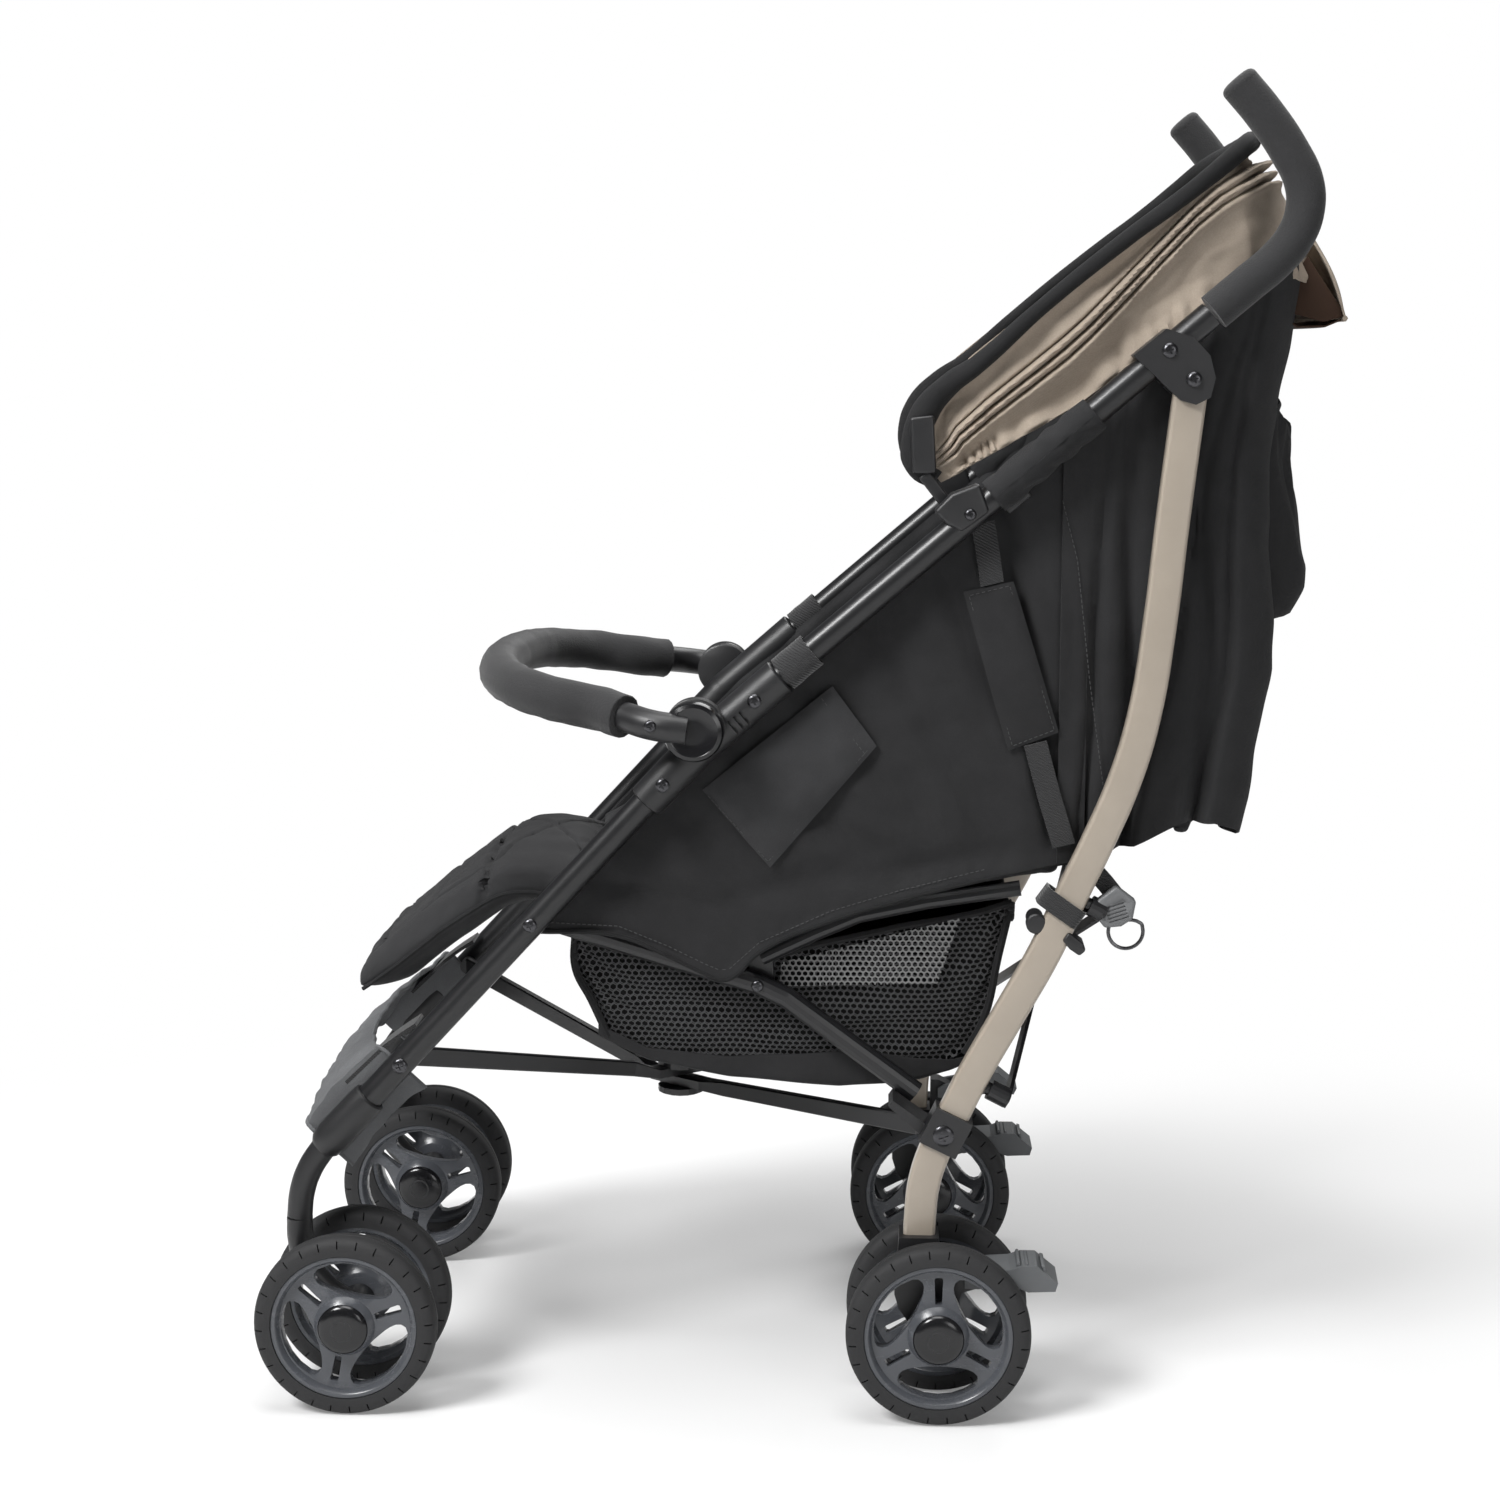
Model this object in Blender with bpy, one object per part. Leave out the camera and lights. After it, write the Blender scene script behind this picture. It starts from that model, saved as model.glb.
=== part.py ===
"""Umbrella-fold pushchair with a tan rear frame, black front tubes and twin wheels at each corner.

Metres, +Z up. The pushchair faces -Y. Its left side is +X and the frame is symmetric about x = 0.
The ground is z = 0. Side-view points are written as (y, z).
"""

import math

import bmesh
import bpy
from mathutils import Matrix, Vector

# Overall layout
SIDE_X = 0.1825  # plane of the side frames
SHIFT_Y = -0.0115  # moves the drawn side view so that its box is centred on y = 0
GAP = 0.0003  # play between two touching pieces

# Tubes
FRONT_TUBE_R = 0.011
LINK_X = 0.155
LINK_R = 0.009
RAIL_R = 0.0065
RAIL_FACE = LINK_X - RAIL_R - GAP  # where cloth meets a seat rail's inner side
LEG_WIDTH = 0.026
LEG_DEPTH = 0.016
LEG_BEVEL = 0.004

# Wheels
WHEEL_R = 0.075
TYRE_WIDTH = 0.025
TYRE_HEIGHT = 0.0142
TWIN_OFFSET = 0.036  # wheel centre to side plane
HUB_R = 0.016
HUB_HALF = 0.013
AXLE_R = 0.0053
CAP_R = 0.019
CAP_DEPTH = 0.0065
WHEEL_SEGS = 24
SPOKES = 3
HOUSING_HALF = 0.016

# Side view points
FRONT_AXLE = (-0.351, 0.075)
REAR_AXLE = (0.132, 0.075)
SWIVEL_Y = -0.395
TOP_PIVOT = (0.321, 0.839)
LINK_PIVOT = (-0.199, 0.403)
RAIL_PIVOT = (-0.014, 0.370)
CROSS_PIVOT = (-0.307, 0.285)
KNUCKLE = (-0.065, 0.565)
CANOPY_PIVOT = (0.112, 0.785)
RECLINE_PIVOT = (0.238, 0.462)
LEG_REST_PIVOT = (-0.1754, 0.4488)
LEG_REST_HOLD = (-0.165, 0.4392)  # on the front tube
BRAKE_PIVOT = (0.160, 0.113)
FOLD_PEDAL_PIVOT = (0.146, 0.165)

FRONT_TUBE_PATH = [
    (-0.366, 0.2215), (-0.099, 0.5108), (-0.080, 0.5310), (-0.0639, 0.5475), (-0.045, 0.5645),
    (-0.020, 0.5863), (0.302, 0.8610), (0.334, 0.8883),
]
GRIP_PATH = [
    (0.334, 0.8883), (0.362, 0.9120), (0.383, 0.9300), (0.397, 0.9480), (0.4035, 0.9680),
    (0.4020, 0.9880), (0.390, 1.0120), (0.370, 1.0400), (0.347, 1.0665),
]
LEG_PATH = [
    (0.3195, 0.822), (0.308, 0.724), (0.3005, 0.649), (0.2895, 0.574), (0.2750, 0.522),
    (0.2545, 0.472), (0.2370, 0.434), (0.2150, 0.384), (0.1880, 0.334), (0.1600, 0.283),
    (0.1440, 0.250), (0.1290, 0.219), (0.1200, 0.190), (0.1170, 0.161), (0.1160, 0.118),
]
LINK_PATH = [LINK_PIVOT, (-0.110, 0.376), (-0.017, 0.348), (0.006, 0.337), (0.113, 0.258)]
RAIL_PATH = [RAIL_PIVOT, (0.030, 0.391), (0.065, 0.406), (0.120, 0.418), (0.196, 0.430)]
BRACKET_OUTLINE = [
    (0.274, 0.857), (0.299, 0.8775), (0.320, 0.871), (0.333, 0.857), (0.3375, 0.840),
    (0.334, 0.825), (0.323, 0.8195), (0.311, 0.823), (0.303, 0.830), (0.289, 0.8435),
]

# Colours: red, green, blue, roughness, metallic
COLOURS = {
    "tan_paint": (0.33, 0.29, 0.25, 0.38, 0.0),
    "black_paint": (0.012, 0.012, 0.013, 0.22, 0.0),
    "black_plastic": (0.022, 0.022, 0.024, 0.42, 0.0),
    "rim_plastic": (0.055, 0.058, 0.066, 0.30, 0.0),
    "tyre_rubber": (0.028, 0.028, 0.029, 0.80, 0.0),
    "grip_foam": (0.030, 0.030, 0.031, 0.92, 0.0),
    "pedal_plastic": (0.11, 0.115, 0.12, 0.45, 0.0),
    "black_fabric": (0.024, 0.024, 0.026, 0.88, 0.0),
    "tan_fabric": (0.36, 0.31, 0.26, 0.85, 0.0),
    "grey_fabric": (0.10, 0.105, 0.11, 0.88, 0.0),
}


def clear_scene():
    """Empty the file of every object."""
    for obj in list(bpy.data.objects):
        bpy.data.objects.remove(obj, do_unlink=True)


def material(name):
    """Return the named material, made on first use."""
    found = bpy.data.materials.get(name)
    if found:
        return found
    red, green, blue, rough, metal = COLOURS[name]
    made = bpy.data.materials.new(name)
    made.use_nodes = True
    shader = made.node_tree.nodes["Principled BSDF"]
    shader.inputs["Base Color"].default_value = (red, green, blue, 1.0)
    shader.inputs["Roughness"].default_value = rough
    shader.inputs["Metallic"].default_value = metal
    made.diffuse_color = (red, green, blue, 1.0)
    return made


def at(x, point):
    """Place a side-view point at a given x."""
    return Vector((x, point[0] + SHIFT_Y, point[1]))


def from_bmesh(name, mesh):
    """Turn a bmesh into a linked object with outward normals."""
    bmesh.ops.recalc_face_normals(mesh, faces=mesh.faces)
    data = bpy.data.meshes.new(name)
    mesh.to_mesh(data)
    mesh.free()
    obj = bpy.data.objects.new(name, data)
    bpy.context.scene.collection.objects.link(obj)
    return obj


def rings_to_object(name, rings, cap_start=True, cap_end=True, loop=False):
    """Skin a list of equal-length vertex rings."""
    mesh = bmesh.new()
    made = [[mesh.verts.new(p) for p in ring] for ring in rings]
    count = len(made[0])
    pairs = list(zip(made[:-1], made[1:]))
    if loop:
        pairs.append((made[-1], made[0]))
    for first, second in pairs:
        for i in range(count):
            j = (i + 1) % count
            mesh.faces.new((first[i], first[j], second[j], second[i]))
    if cap_start and not loop:
        mesh.faces.new(list(reversed(made[0])))
    if cap_end and not loop:
        mesh.faces.new(made[-1])
    return from_bmesh(name, mesh)


def frames(path, up):
    """Return (point, side, up) for each path point, with mitred directions."""
    out = []
    for i, point in enumerate(path):
        before = path[max(i - 1, 0)]
        after = path[min(i + 1, len(path) - 1)]
        into = (point - before).normalized() if i else (after - point).normalized()
        away = (after - point).normalized() if i < len(path) - 1 else into
        tangent = (into + away).normalized()
        side = up.cross(tangent).normalized()
        stretch = 1.0 / max(into.dot(tangent), 0.5)
        out.append((point, side, tangent.cross(side).normalized(), stretch))
    return out


def sweep(name, path, section, up=Vector((1, 0, 0)), scales=None):
    """Sweep a section of (side, up) offsets along a path."""
    rings = []
    for i, (point, side, top, stretch) in enumerate(frames(path, up)):
        wide, tall = scales[i] if scales else (1.0, 1.0)
        rings.append([point + side * (a * wide * stretch) + top * (b * tall) for a, b in section])
    return rings_to_object(name, rings)


def circle(radius, segs, turn=0.0):
    """Points of a circle as (side, up) offsets."""
    step = 2 * math.pi / segs
    return [
        (radius * math.cos(step * (i + turn)), radius * math.sin(step * (i + turn)))
        for i in range(segs)
    ]


def rod(name, start, end, radius, segs=16):
    """Straight round bar between two points."""
    along = end - start
    helper = Vector((0, 0, 1)) if abs(along.normalized().z) < 0.9 else Vector((1, 0, 0))
    return sweep(name, [start, end], circle(radius, segs), helper)


def sleeve(name, path, outer, inner, segs, wall):
    """Tube that is open at the start of the path and closed at its end."""
    placed = frames(path, Vector((1, 0, 0)))
    rings = []
    for point, side, top, stretch in placed:
        rings.append([point + side * (a * stretch) + top * b for a, b in circle(outer, segs)])
    last_point, last_side, last_top, _ = placed[-1]
    along = last_side.cross(last_top).normalized()
    if along.dot(path[-1] - path[-2]) < 0:
        along = -along
    rings.append([
        last_point + along * wall * 0.6 + last_side * a + last_top * b
        for a, b in circle(outer * 0.8, segs)
    ])
    outer_count = len(rings)
    inner_rings = []
    for point, side, top, stretch in placed[:-1]:
        inner_rings.append([point + side * (a * stretch) + top * b for a, b in circle(inner, segs)])
    end = last_point - along * wall
    inner_rings.append([end + last_side * a + last_top * b for a, b in circle(inner, segs)])
    mesh = bmesh.new()
    out = [[mesh.verts.new(p) for p in ring] for ring in rings]
    ins = [[mesh.verts.new(p) for p in ring] for ring in inner_rings]
    for stack in (out, ins):
        for first, second in zip(stack[:-1], stack[1:]):
            for i in range(segs):
                j = (i + 1) % segs
                mesh.faces.new((first[i], first[j], second[j], second[i]))
    for i in range(segs):
        j = (i + 1) % segs
        mesh.faces.new((out[0][i], out[0][j], ins[0][j], ins[0][i]))
    mesh.faces.new(out[outer_count - 1])
    mesh.faces.new(ins[-1])
    return from_bmesh(name, mesh)


def lathe(name, profile, centre, segs, axis="X", turn=0.5):
    """Revolve a closed profile of (along, radius) about an axis through centre."""
    rings = []
    for a, b in circle(1.0, segs, turn):
        if axis == "X":
            rings.append([centre + Vector((s, r * a, r * b)) for s, r in profile])
        else:
            rings.append([centre + Vector((r * a, r * b, s)) for s, r in profile])
    return rings_to_object(name, rings, loop=True)


def turned(name, profile, centre, segs, axis="X"):
    """Revolve an open profile whose ends are closed by flat discs."""
    rings = []
    for s, r in profile:
        if axis == "X":
            rings.append([centre + Vector((s, a, b)) for a, b in circle(r, segs)])
        else:
            rings.append([centre + Vector((a, b, s)) for a, b in circle(r, segs)])
    return rings_to_object(name, rings)


def prism(name, outline, x0, x1):
    """Extrude a side-view outline between two x planes."""
    rings = [[at(x, p) for p in outline] for x in (x0, x1)]
    return rings_to_object(name, rings)


def block(name, low, high):
    """Box between two corners."""
    ring = [(low[0], low[1]), (high[0], low[1]), (high[0], high[1]), (low[0], high[1])]
    rings = [[Vector((x, y, z)) for x, y in ring] for z in (low[2], high[2])]
    return rings_to_object(name, rings)


def boolean(target, other, operation):
    """Apply one exact Boolean and remove the other body."""
    modifier = target.modifiers.new("cut", "BOOLEAN")
    modifier.operation = operation
    modifier.solver = "EXACT"
    modifier.object = other
    graph = bpy.context.evaluated_depsgraph_get()
    result = bpy.data.meshes.new_from_object(target.evaluated_get(graph))
    target.modifiers.clear()
    target.data = result
    bpy.data.objects.remove(other, do_unlink=True)
    return target


def join(target, *others):
    """Fuse bodies into the target."""
    for other in others:
        boolean(target, other, "UNION")
    return target


def cut(target, *others):
    """Remove bodies from the target."""
    for other in others:
        boolean(target, other, "DIFFERENCE")
    return target


def finish(obj, name, colour, origin=None, angle=35.0):
    """Name, colour and shade a piece, with its origin on its joint."""
    obj.name = name
    obj.data.name = name
    obj.data.materials.clear()
    obj.data.materials.append(material(colour))
    mesh = bmesh.new()
    mesh.from_mesh(obj.data)
    bmesh.ops.remove_doubles(mesh, verts=mesh.verts, dist=0.00001)
    bmesh.ops.dissolve_degenerate(mesh, dist=0.00001, edges=mesh.edges)
    bmesh.ops.recalc_face_normals(mesh, faces=mesh.faces)
    for face in mesh.faces:
        face.material_index = 0
    mesh.to_mesh(obj.data)
    mesh.free()
    if origin is not None:
        obj.data.transform(Matrix.Translation(-origin))
        obj.location = origin
    obj.data.shade_smooth()
    obj.data.set_sharp_from_angle(angle=math.radians(angle))
    return obj


def mirror(obj, name):
    """Copy a piece to the other side of x = 0."""
    data = obj.data.copy()
    data.transform(Matrix.Scale(-1.0, 4, Vector((1, 0, 0))))
    data.flip_normals()
    data.name = name
    copy = bpy.data.objects.new(name, data)
    copy.location = (-obj.location.x, obj.location.y, obj.location.z)
    bpy.context.scene.collection.objects.link(copy)
    return copy


def both_sides(obj, stem, colour, origin=None):
    """Finish a left piece and add its mirrored right piece."""
    left = finish(obj, stem + "_left", colour, origin)
    right = mirror(left, stem + "_right")
    return left, right


def side_path(points, x=SIDE_X):
    """Place side-view points in one x plane."""
    return [at(x, p) for p in points]


def leg_section(grow=0.0):
    """Bevelled rectangle of the rear leg."""
    wide = LEG_WIDTH / 2 + grow
    deep = LEG_DEPTH / 2 + grow
    cut_corner = LEG_BEVEL
    return [
        (-wide, -deep + cut_corner), (-wide + cut_corner, -deep), (wide - cut_corner, -deep),
        (wide, -deep + cut_corner), (wide, deep - cut_corner), (wide - cut_corner, deep),
        (-wide + cut_corner, deep), (-wide, deep - cut_corner),
    ]


def leg_body(name, grow=0.0):
    """Rear leg tube, rounded at its top pivot."""
    top = Vector((0, TOP_PIVOT[0] - LEG_PATH[0][0], TOP_PIVOT[1] - LEG_PATH[0][1])).normalized()
    pivot = at(SIDE_X, TOP_PIVOT)
    path = [pivot + top * (0.011 + grow), pivot + top * 0.006] + side_path(LEG_PATH)
    if grow:
        path.append(path[-1] + Vector((0, 0, -2 * grow)))
    scales = [(0.52, 1.0)] + [(1.0, 1.0)] * (len(path) - 1)
    return sweep(name, path, leg_section(grow), scales=scales)


def tube_bore():
    """Front tube grown by the play, for cutting the pieces that grip it."""
    path = side_path(FRONT_TUBE_PATH)
    path[0] = path[0] + (path[0] - path[1]).normalized() * GAP
    return sweep("bore", path, circle(FRONT_TUBE_R + GAP, 12))


def make_front_tubes():
    """Long front tubes that end inside the handle grips."""
    points = FRONT_TUBE_PATH + GRIP_PATH[1:-1]
    body = sweep("tube", side_path(points), circle(FRONT_TUBE_R, 12))
    both_sides(body, "front_tube", "black_paint")


def make_grips():
    """Foam handle sleeves over the tube ends."""
    body = sleeve("grip", side_path(GRIP_PATH), 0.015, FRONT_TUBE_R + GAP, 12, 0.004)
    both_sides(body, "grip", "grip_foam")


def make_top_brackets():
    """Moulded bracket that joins the front tube to the rear leg's pivot."""
    half = 0.0130
    body = prism("bracket", BRACKET_OUTLINE, SIDE_X - half, SIDE_X + half)
    tube = tube_bore()
    pivot = at(SIDE_X, TOP_PIVOT)
    slot_half = LEG_DEPTH / 2 + 0.0005
    slot = rod("slot", pivot + Vector((-slot_half, 0, 0)), pivot + Vector((slot_half, 0, 0)), 0.0158, 20)
    wedge = prism("wedge", [
        TOP_PIVOT, (0.3368, 0.8385), (0.340, 0.780), (0.262, 0.780), (0.3100, 0.8490),
    ], SIDE_X - slot_half, SIDE_X + slot_half)
    cut(body, tube, slot, wedge)
    pin = turned("pin", [
        (-0.0130, 0.0042), (0.0125, 0.0042), (0.0126, 0.0062), (0.0140, 0.0058), (0.0148, 0.0035),
    ], pivot, 16)
    join(body, pin)
    both_sides(body, "top_bracket", "black_plastic")


def make_rear_legs():
    """Curved tan rear legs."""
    body = leg_body("leg")
    pivot = at(SIDE_X, TOP_PIVOT)
    cut(body, rod("hole", pivot - Vector((0.02, 0, 0)), pivot + Vector((0.02, 0, 0)), 0.0045, 16))
    both_sides(body, "rear_leg", "tan_paint", pivot)


def make_leg_brackets():
    """Clamp on each rear leg with a trough that carries the side link's end."""
    along = Vector((0, 0.0150, 0.0310)).normalized()
    across = Vector((0, along.z, -along.y))
    centre = at(SIDE_X, (0.1370, 0.2350))
    ring = []
    for a, b in ((-1, -1), (1, -1), (1, 1), (-1, 1)):
        ring.append(centre + across * (0.0165 * a) + along * (0.0160 * b))
    body = rings_to_object("clamp", [[p + Vector((x, 0, 0)) for p in ring] for x in (-0.012, 0.012)])
    trough = prism("trough", [
        (0.0940, 0.2585), (0.1225, 0.2380), (0.1310, 0.2330), (0.1300, 0.2210), (0.1180, 0.2290),
        (0.0905, 0.2535),
    ], LINK_X - LINK_R + 0.0005, SIDE_X)
    join(body, trough)
    cut(body, leg_body("hole", GAP))
    both_sides(body, "leg_bracket", "black_plastic", at(SIDE_X, TOP_PIVOT))


def make_rear_housings():
    """Wheel housings at the foot of each rear leg."""
    outline = [
        (0.0965, 0.100), (0.1000, 0.088), (0.1180, 0.062), (0.1260, 0.0585), (0.1380, 0.0585),
        (0.1480, 0.066), (0.1500, 0.078), (0.1480, 0.092), (0.1510, 0.1020), (0.1690, 0.1080),
        (0.1690, 0.1180), (0.1520, 0.1230), (0.1340, 0.1308), (0.1320, 0.148), (0.1000, 0.148),
    ]
    body = prism("housing", outline, SIDE_X - HOUSING_HALF, SIDE_X + HOUSING_HALF)
    axle = at(SIDE_X, REAR_AXLE)
    reach = TWIN_OFFSET - HUB_HALF - GAP
    join(body, rod("boss", axle - Vector((reach, 0, 0)), axle + Vector((reach, 0, 0)), 0.011, 20))
    bore = rod("bore", axle - Vector((0.05, 0, 0)), axle + Vector((0.05, 0, 0)), AXLE_R + GAP, 16)
    pivot = at(SIDE_X, BRAKE_PIVOT)
    pin = rod("pin", pivot - Vector((0.05, 0, 0)), pivot + Vector((0.05, 0, 0)), 0.0033, 12)
    cut(body, leg_body("hole", GAP), bore, pin)
    origin = at(SIDE_X, TOP_PIVOT)
    left = finish(body, "rear_housing_left", "black_plastic", origin)
    right = mirror(left, "rear_housing_right")
    lug = prism("lug", [
        (0.1325, 0.140), (0.1325, 0.176), (0.1400, 0.176), (0.1560, 0.168), (0.1560, 0.160),
        (0.1480, 0.152), (0.1400, 0.127), (0.1330, 0.127),
    ], -SIDE_X - 0.0095, -SIDE_X + 0.0095)
    right_pivot = at(-SIDE_X, FOLD_PEDAL_PIVOT)
    lug_hole = rod(
        "lug_hole", right_pivot - Vector((0.05, 0, 0)), right_pivot + Vector((0.05, 0, 0)), 0.0033, 12
    )
    right.data.transform(Matrix.Translation(right.location))
    right.location = (0, 0, 0)
    join(right, lug)
    cut(right, lug_hole)
    finish(right, "rear_housing_right", "black_plastic", at(-SIDE_X, TOP_PIVOT))


def pedal(name, pivot, outline, x, inner_half, ear, plate_start):
    """Foot pedal with two ears, a pin and a ribbed tread plate."""
    outer_half = inner_half + ear
    body = prism(name, outline, x - outer_half, x + outer_half)
    low = min(p[1] for p in outline) - 0.01
    high = max(p[1] for p in outline) + 0.01
    gap = block("gap", (x - inner_half, outline[0][0] + SHIFT_Y - 0.03, low),
                (x + inner_half, plate_start + SHIFT_Y, high))
    cut(body, gap)
    centre = at(x, pivot)
    reach = Vector((inner_half + ear / 2, 0, 0))
    join(body, rod("pin", centre - reach, centre + reach, 0.0030, 12))
    return body


def make_pedals():
    """Brake pedals at both rear wheels and the fold release on the right."""
    brake = [
        (0.1535, 0.1075), (0.1535, 0.1180), (0.1600, 0.1215), (0.1900, 0.1235), (0.2000, 0.1270),
        (0.2120, 0.1270), (0.2290, 0.1130), (0.2270, 0.1060), (0.2050, 0.1050), (0.1850, 0.1130),
        (0.1650, 0.1070),
    ]
    body = pedal("brake", BRAKE_PIVOT, brake, SIDE_X, HOUSING_HALF + 0.0006, 0.0032, 0.1725)
    both_sides(body, "brake_pedal", "pedal_plastic", at(SIDE_X, BRAKE_PIVOT))
    fold = [
        (0.1395, 0.1600), (0.1395, 0.1690), (0.1450, 0.1720), (0.1800, 0.1790), (0.1880, 0.1860),
        (0.1960, 0.1850), (0.2140, 0.1700), (0.2110, 0.1640), (0.1900, 0.1650), (0.1500, 0.1590),
    ]
    body = pedal("fold", FOLD_PEDAL_PIVOT, fold, -SIDE_X, 0.0101, 0.0050, 0.1600)
    finish(body, "fold_pedal", "pedal_plastic", at(-SIDE_X, FOLD_PEDAL_PIVOT))


def make_front_feet():
    """Socket, curved leg and swivel barrel below each front tube."""
    start = at(SIDE_X, (-0.3360, 0.2540))
    end = at(SIDE_X, (-0.3725, 0.2145))
    body = rod("socket", start, end, 0.0150, 20)
    plate = prism("plate", [
        (-0.3620, 0.2400), (-0.3500, 0.2230), (-0.3640, 0.2080), (-0.3740, 0.1900),
        (SWIVEL_Y + 0.0150, 0.1720), (SWIVEL_Y + 0.0150, 0.1560), (SWIVEL_Y - 0.0140, 0.1560),
        (SWIVEL_Y - 0.0135, 0.1760), (SWIVEL_Y - 0.0050, 0.1990), (-0.3860, 0.2210),
    ], SIDE_X - 0.0105, SIDE_X + 0.0105)
    centre = Vector((SIDE_X, SWIVEL_Y + SHIFT_Y, 0))
    barrel = turned("barrel", [(0.1530, 0.0155), (0.1830, 0.0155), (0.1880, 0.0110)], centre, 20, "Z")
    join(body, plate, barrel)
    tube = tube_bore()
    stem = turned("stem", [(0.14, 0.0063), (0.1763, 0.0063)], centre, 16, "Z")
    cut(body, tube, stem)
    both_sides(body, "front_foot", "black_plastic")


def make_casters():
    """Swivelling caster body with its trailing arm."""
    centre = Vector((SIDE_X, SWIVEL_Y + SHIFT_Y, 0))
    body = turned("barrel", [
        (0.1000, 0.0120), (0.1060, 0.0155), (0.1500, 0.0155), (0.1525, 0.0130),
    ], centre, 20, "Z")
    axle_y, axle_z = FRONT_AXLE
    arm = prism("arm", [
        (SWIVEL_Y - 0.0040, 0.1400), (SWIVEL_Y - 0.0040, 0.1080), (SWIVEL_Y + 0.0150, 0.0850),
        (axle_y - 0.0090, axle_z - 0.0150), (axle_y, axle_z - 0.0170), (axle_y + 0.0090, axle_z - 0.0150),
        (axle_y + 0.0150, axle_z - 0.0070), (axle_y + 0.0160, axle_z + 0.0030), (axle_y - 0.0050, 0.1080),
        (SWIVEL_Y + 0.0190, 0.1320), (SWIVEL_Y + 0.0120, 0.1450),
    ], SIDE_X - 0.0105, SIDE_X + 0.0105)
    axle = at(SIDE_X, FRONT_AXLE)
    reach = Vector((TWIN_OFFSET - HUB_HALF - GAP, 0, 0))
    boss = rod("boss", axle - reach, axle + reach, 0.0125, 20)
    stem = turned("stem", [(0.1450, 0.0060), (0.1740, 0.0060), (0.1760, 0.0045)], centre, 16, "Z")
    join(body, arm, boss, stem)
    cut(body, rod("bore", axle - Vector((0.05, 0, 0)), axle + Vector((0.05, 0, 0)), AXLE_R + GAP, 16))
    both_sides(body, "caster", "black_plastic", centre + Vector((0, 0, 0.15)))


def bean(centre_angle):
    """Outline of one rim opening between two spokes."""
    inner, outer = 0.0205, 0.0520
    points = []
    for radius, spread in (
        (inner + 0.001, 18), (inner, 0), (inner + 0.001, -18), (inner + 0.013, -36),
        (outer - 0.006, -41), (outer, -30), (outer, -10), (outer, 10), (outer, 30),
        (outer - 0.006, 41), (inner + 0.013, 36),
    ):
        angle = math.radians(centre_angle + spread)
        points.append((radius * math.cos(angle), radius * math.sin(angle)))
    return points


def slot_outline(angle_deg):
    """Outline of the narrow slot in one spoke."""
    angle = math.radians(angle_deg)
    along = (math.cos(angle), math.sin(angle))
    across = (-along[1], along[0])
    near, far, near_half, far_half = 0.0260, 0.0490, 0.0013, 0.0026
    shape = [
        (near, -near_half), (far, -far_half), (far + 0.0015, 0), (far, far_half), (near, near_half),
    ]
    return [(s * along[0] + t * across[0], s * along[1] + t * across[1]) for s, t in shape]


def wheel_cutter(name, outline, reach):
    """Extrude a wheel-plane outline along the axle."""
    rings = [[Vector((x, y, z)) for y, z in outline] for x in (-reach, reach)]
    return rings_to_object(name, rings)


def make_wheel_meshes():
    """Rim and tyre centred on the origin, with the axle along X."""
    zero = Vector((0, 0, 0))
    rim_r = WHEEL_R - TYRE_HEIGHT - GAP
    half = 0.0110
    web = 0.0035
    rim = lathe("rim", [
        (-half, rim_r), (half, rim_r), (web, rim_r - 0.0070), (web, HUB_R + 0.001),
        (HUB_HALF, HUB_R - 0.0015), (HUB_HALF, AXLE_R + GAP), (-HUB_HALF, AXLE_R + GAP),
        (-HUB_HALF, HUB_R - 0.0015), (-web, HUB_R + 0.001), (-web, rim_r - 0.0070),
    ], zero, WHEEL_SEGS)
    for k in range(SPOKES):
        spoke_angle = 90 + k * 360 / SPOKES
        cut(rim, wheel_cutter("bean", bean(spoke_angle + 180 / SPOKES), 0.03))
        cut(rim, wheel_cutter("slot", slot_outline(spoke_angle), 0.03))
    tyre_half = TYRE_WIDTH / 2
    tread = WHEEL_R / math.cos(math.pi / WHEEL_SEGS)
    bore = WHEEL_R - TYRE_HEIGHT
    tyre = lathe("tyre", [
        (-tyre_half, bore), (-tyre_half + 0.0010, tread - 0.0030), (-0.0070, tread), (0.0070, tread),
        (tyre_half - 0.0010, tread - 0.0030), (tyre_half, bore),
    ], zero, WHEEL_SEGS)
    return rim, tyre


def place_copy(source, name, colour, centre, turn_deg):
    """Copy a wheel piece to its axle."""
    data = source.data.copy()
    data.transform(Matrix.Rotation(math.radians(turn_deg), 4, "X"))
    obj = bpy.data.objects.new(name, data)
    bpy.context.scene.collection.objects.link(obj)
    finish(obj, name, colour)
    obj.location = centre
    return obj


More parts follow.
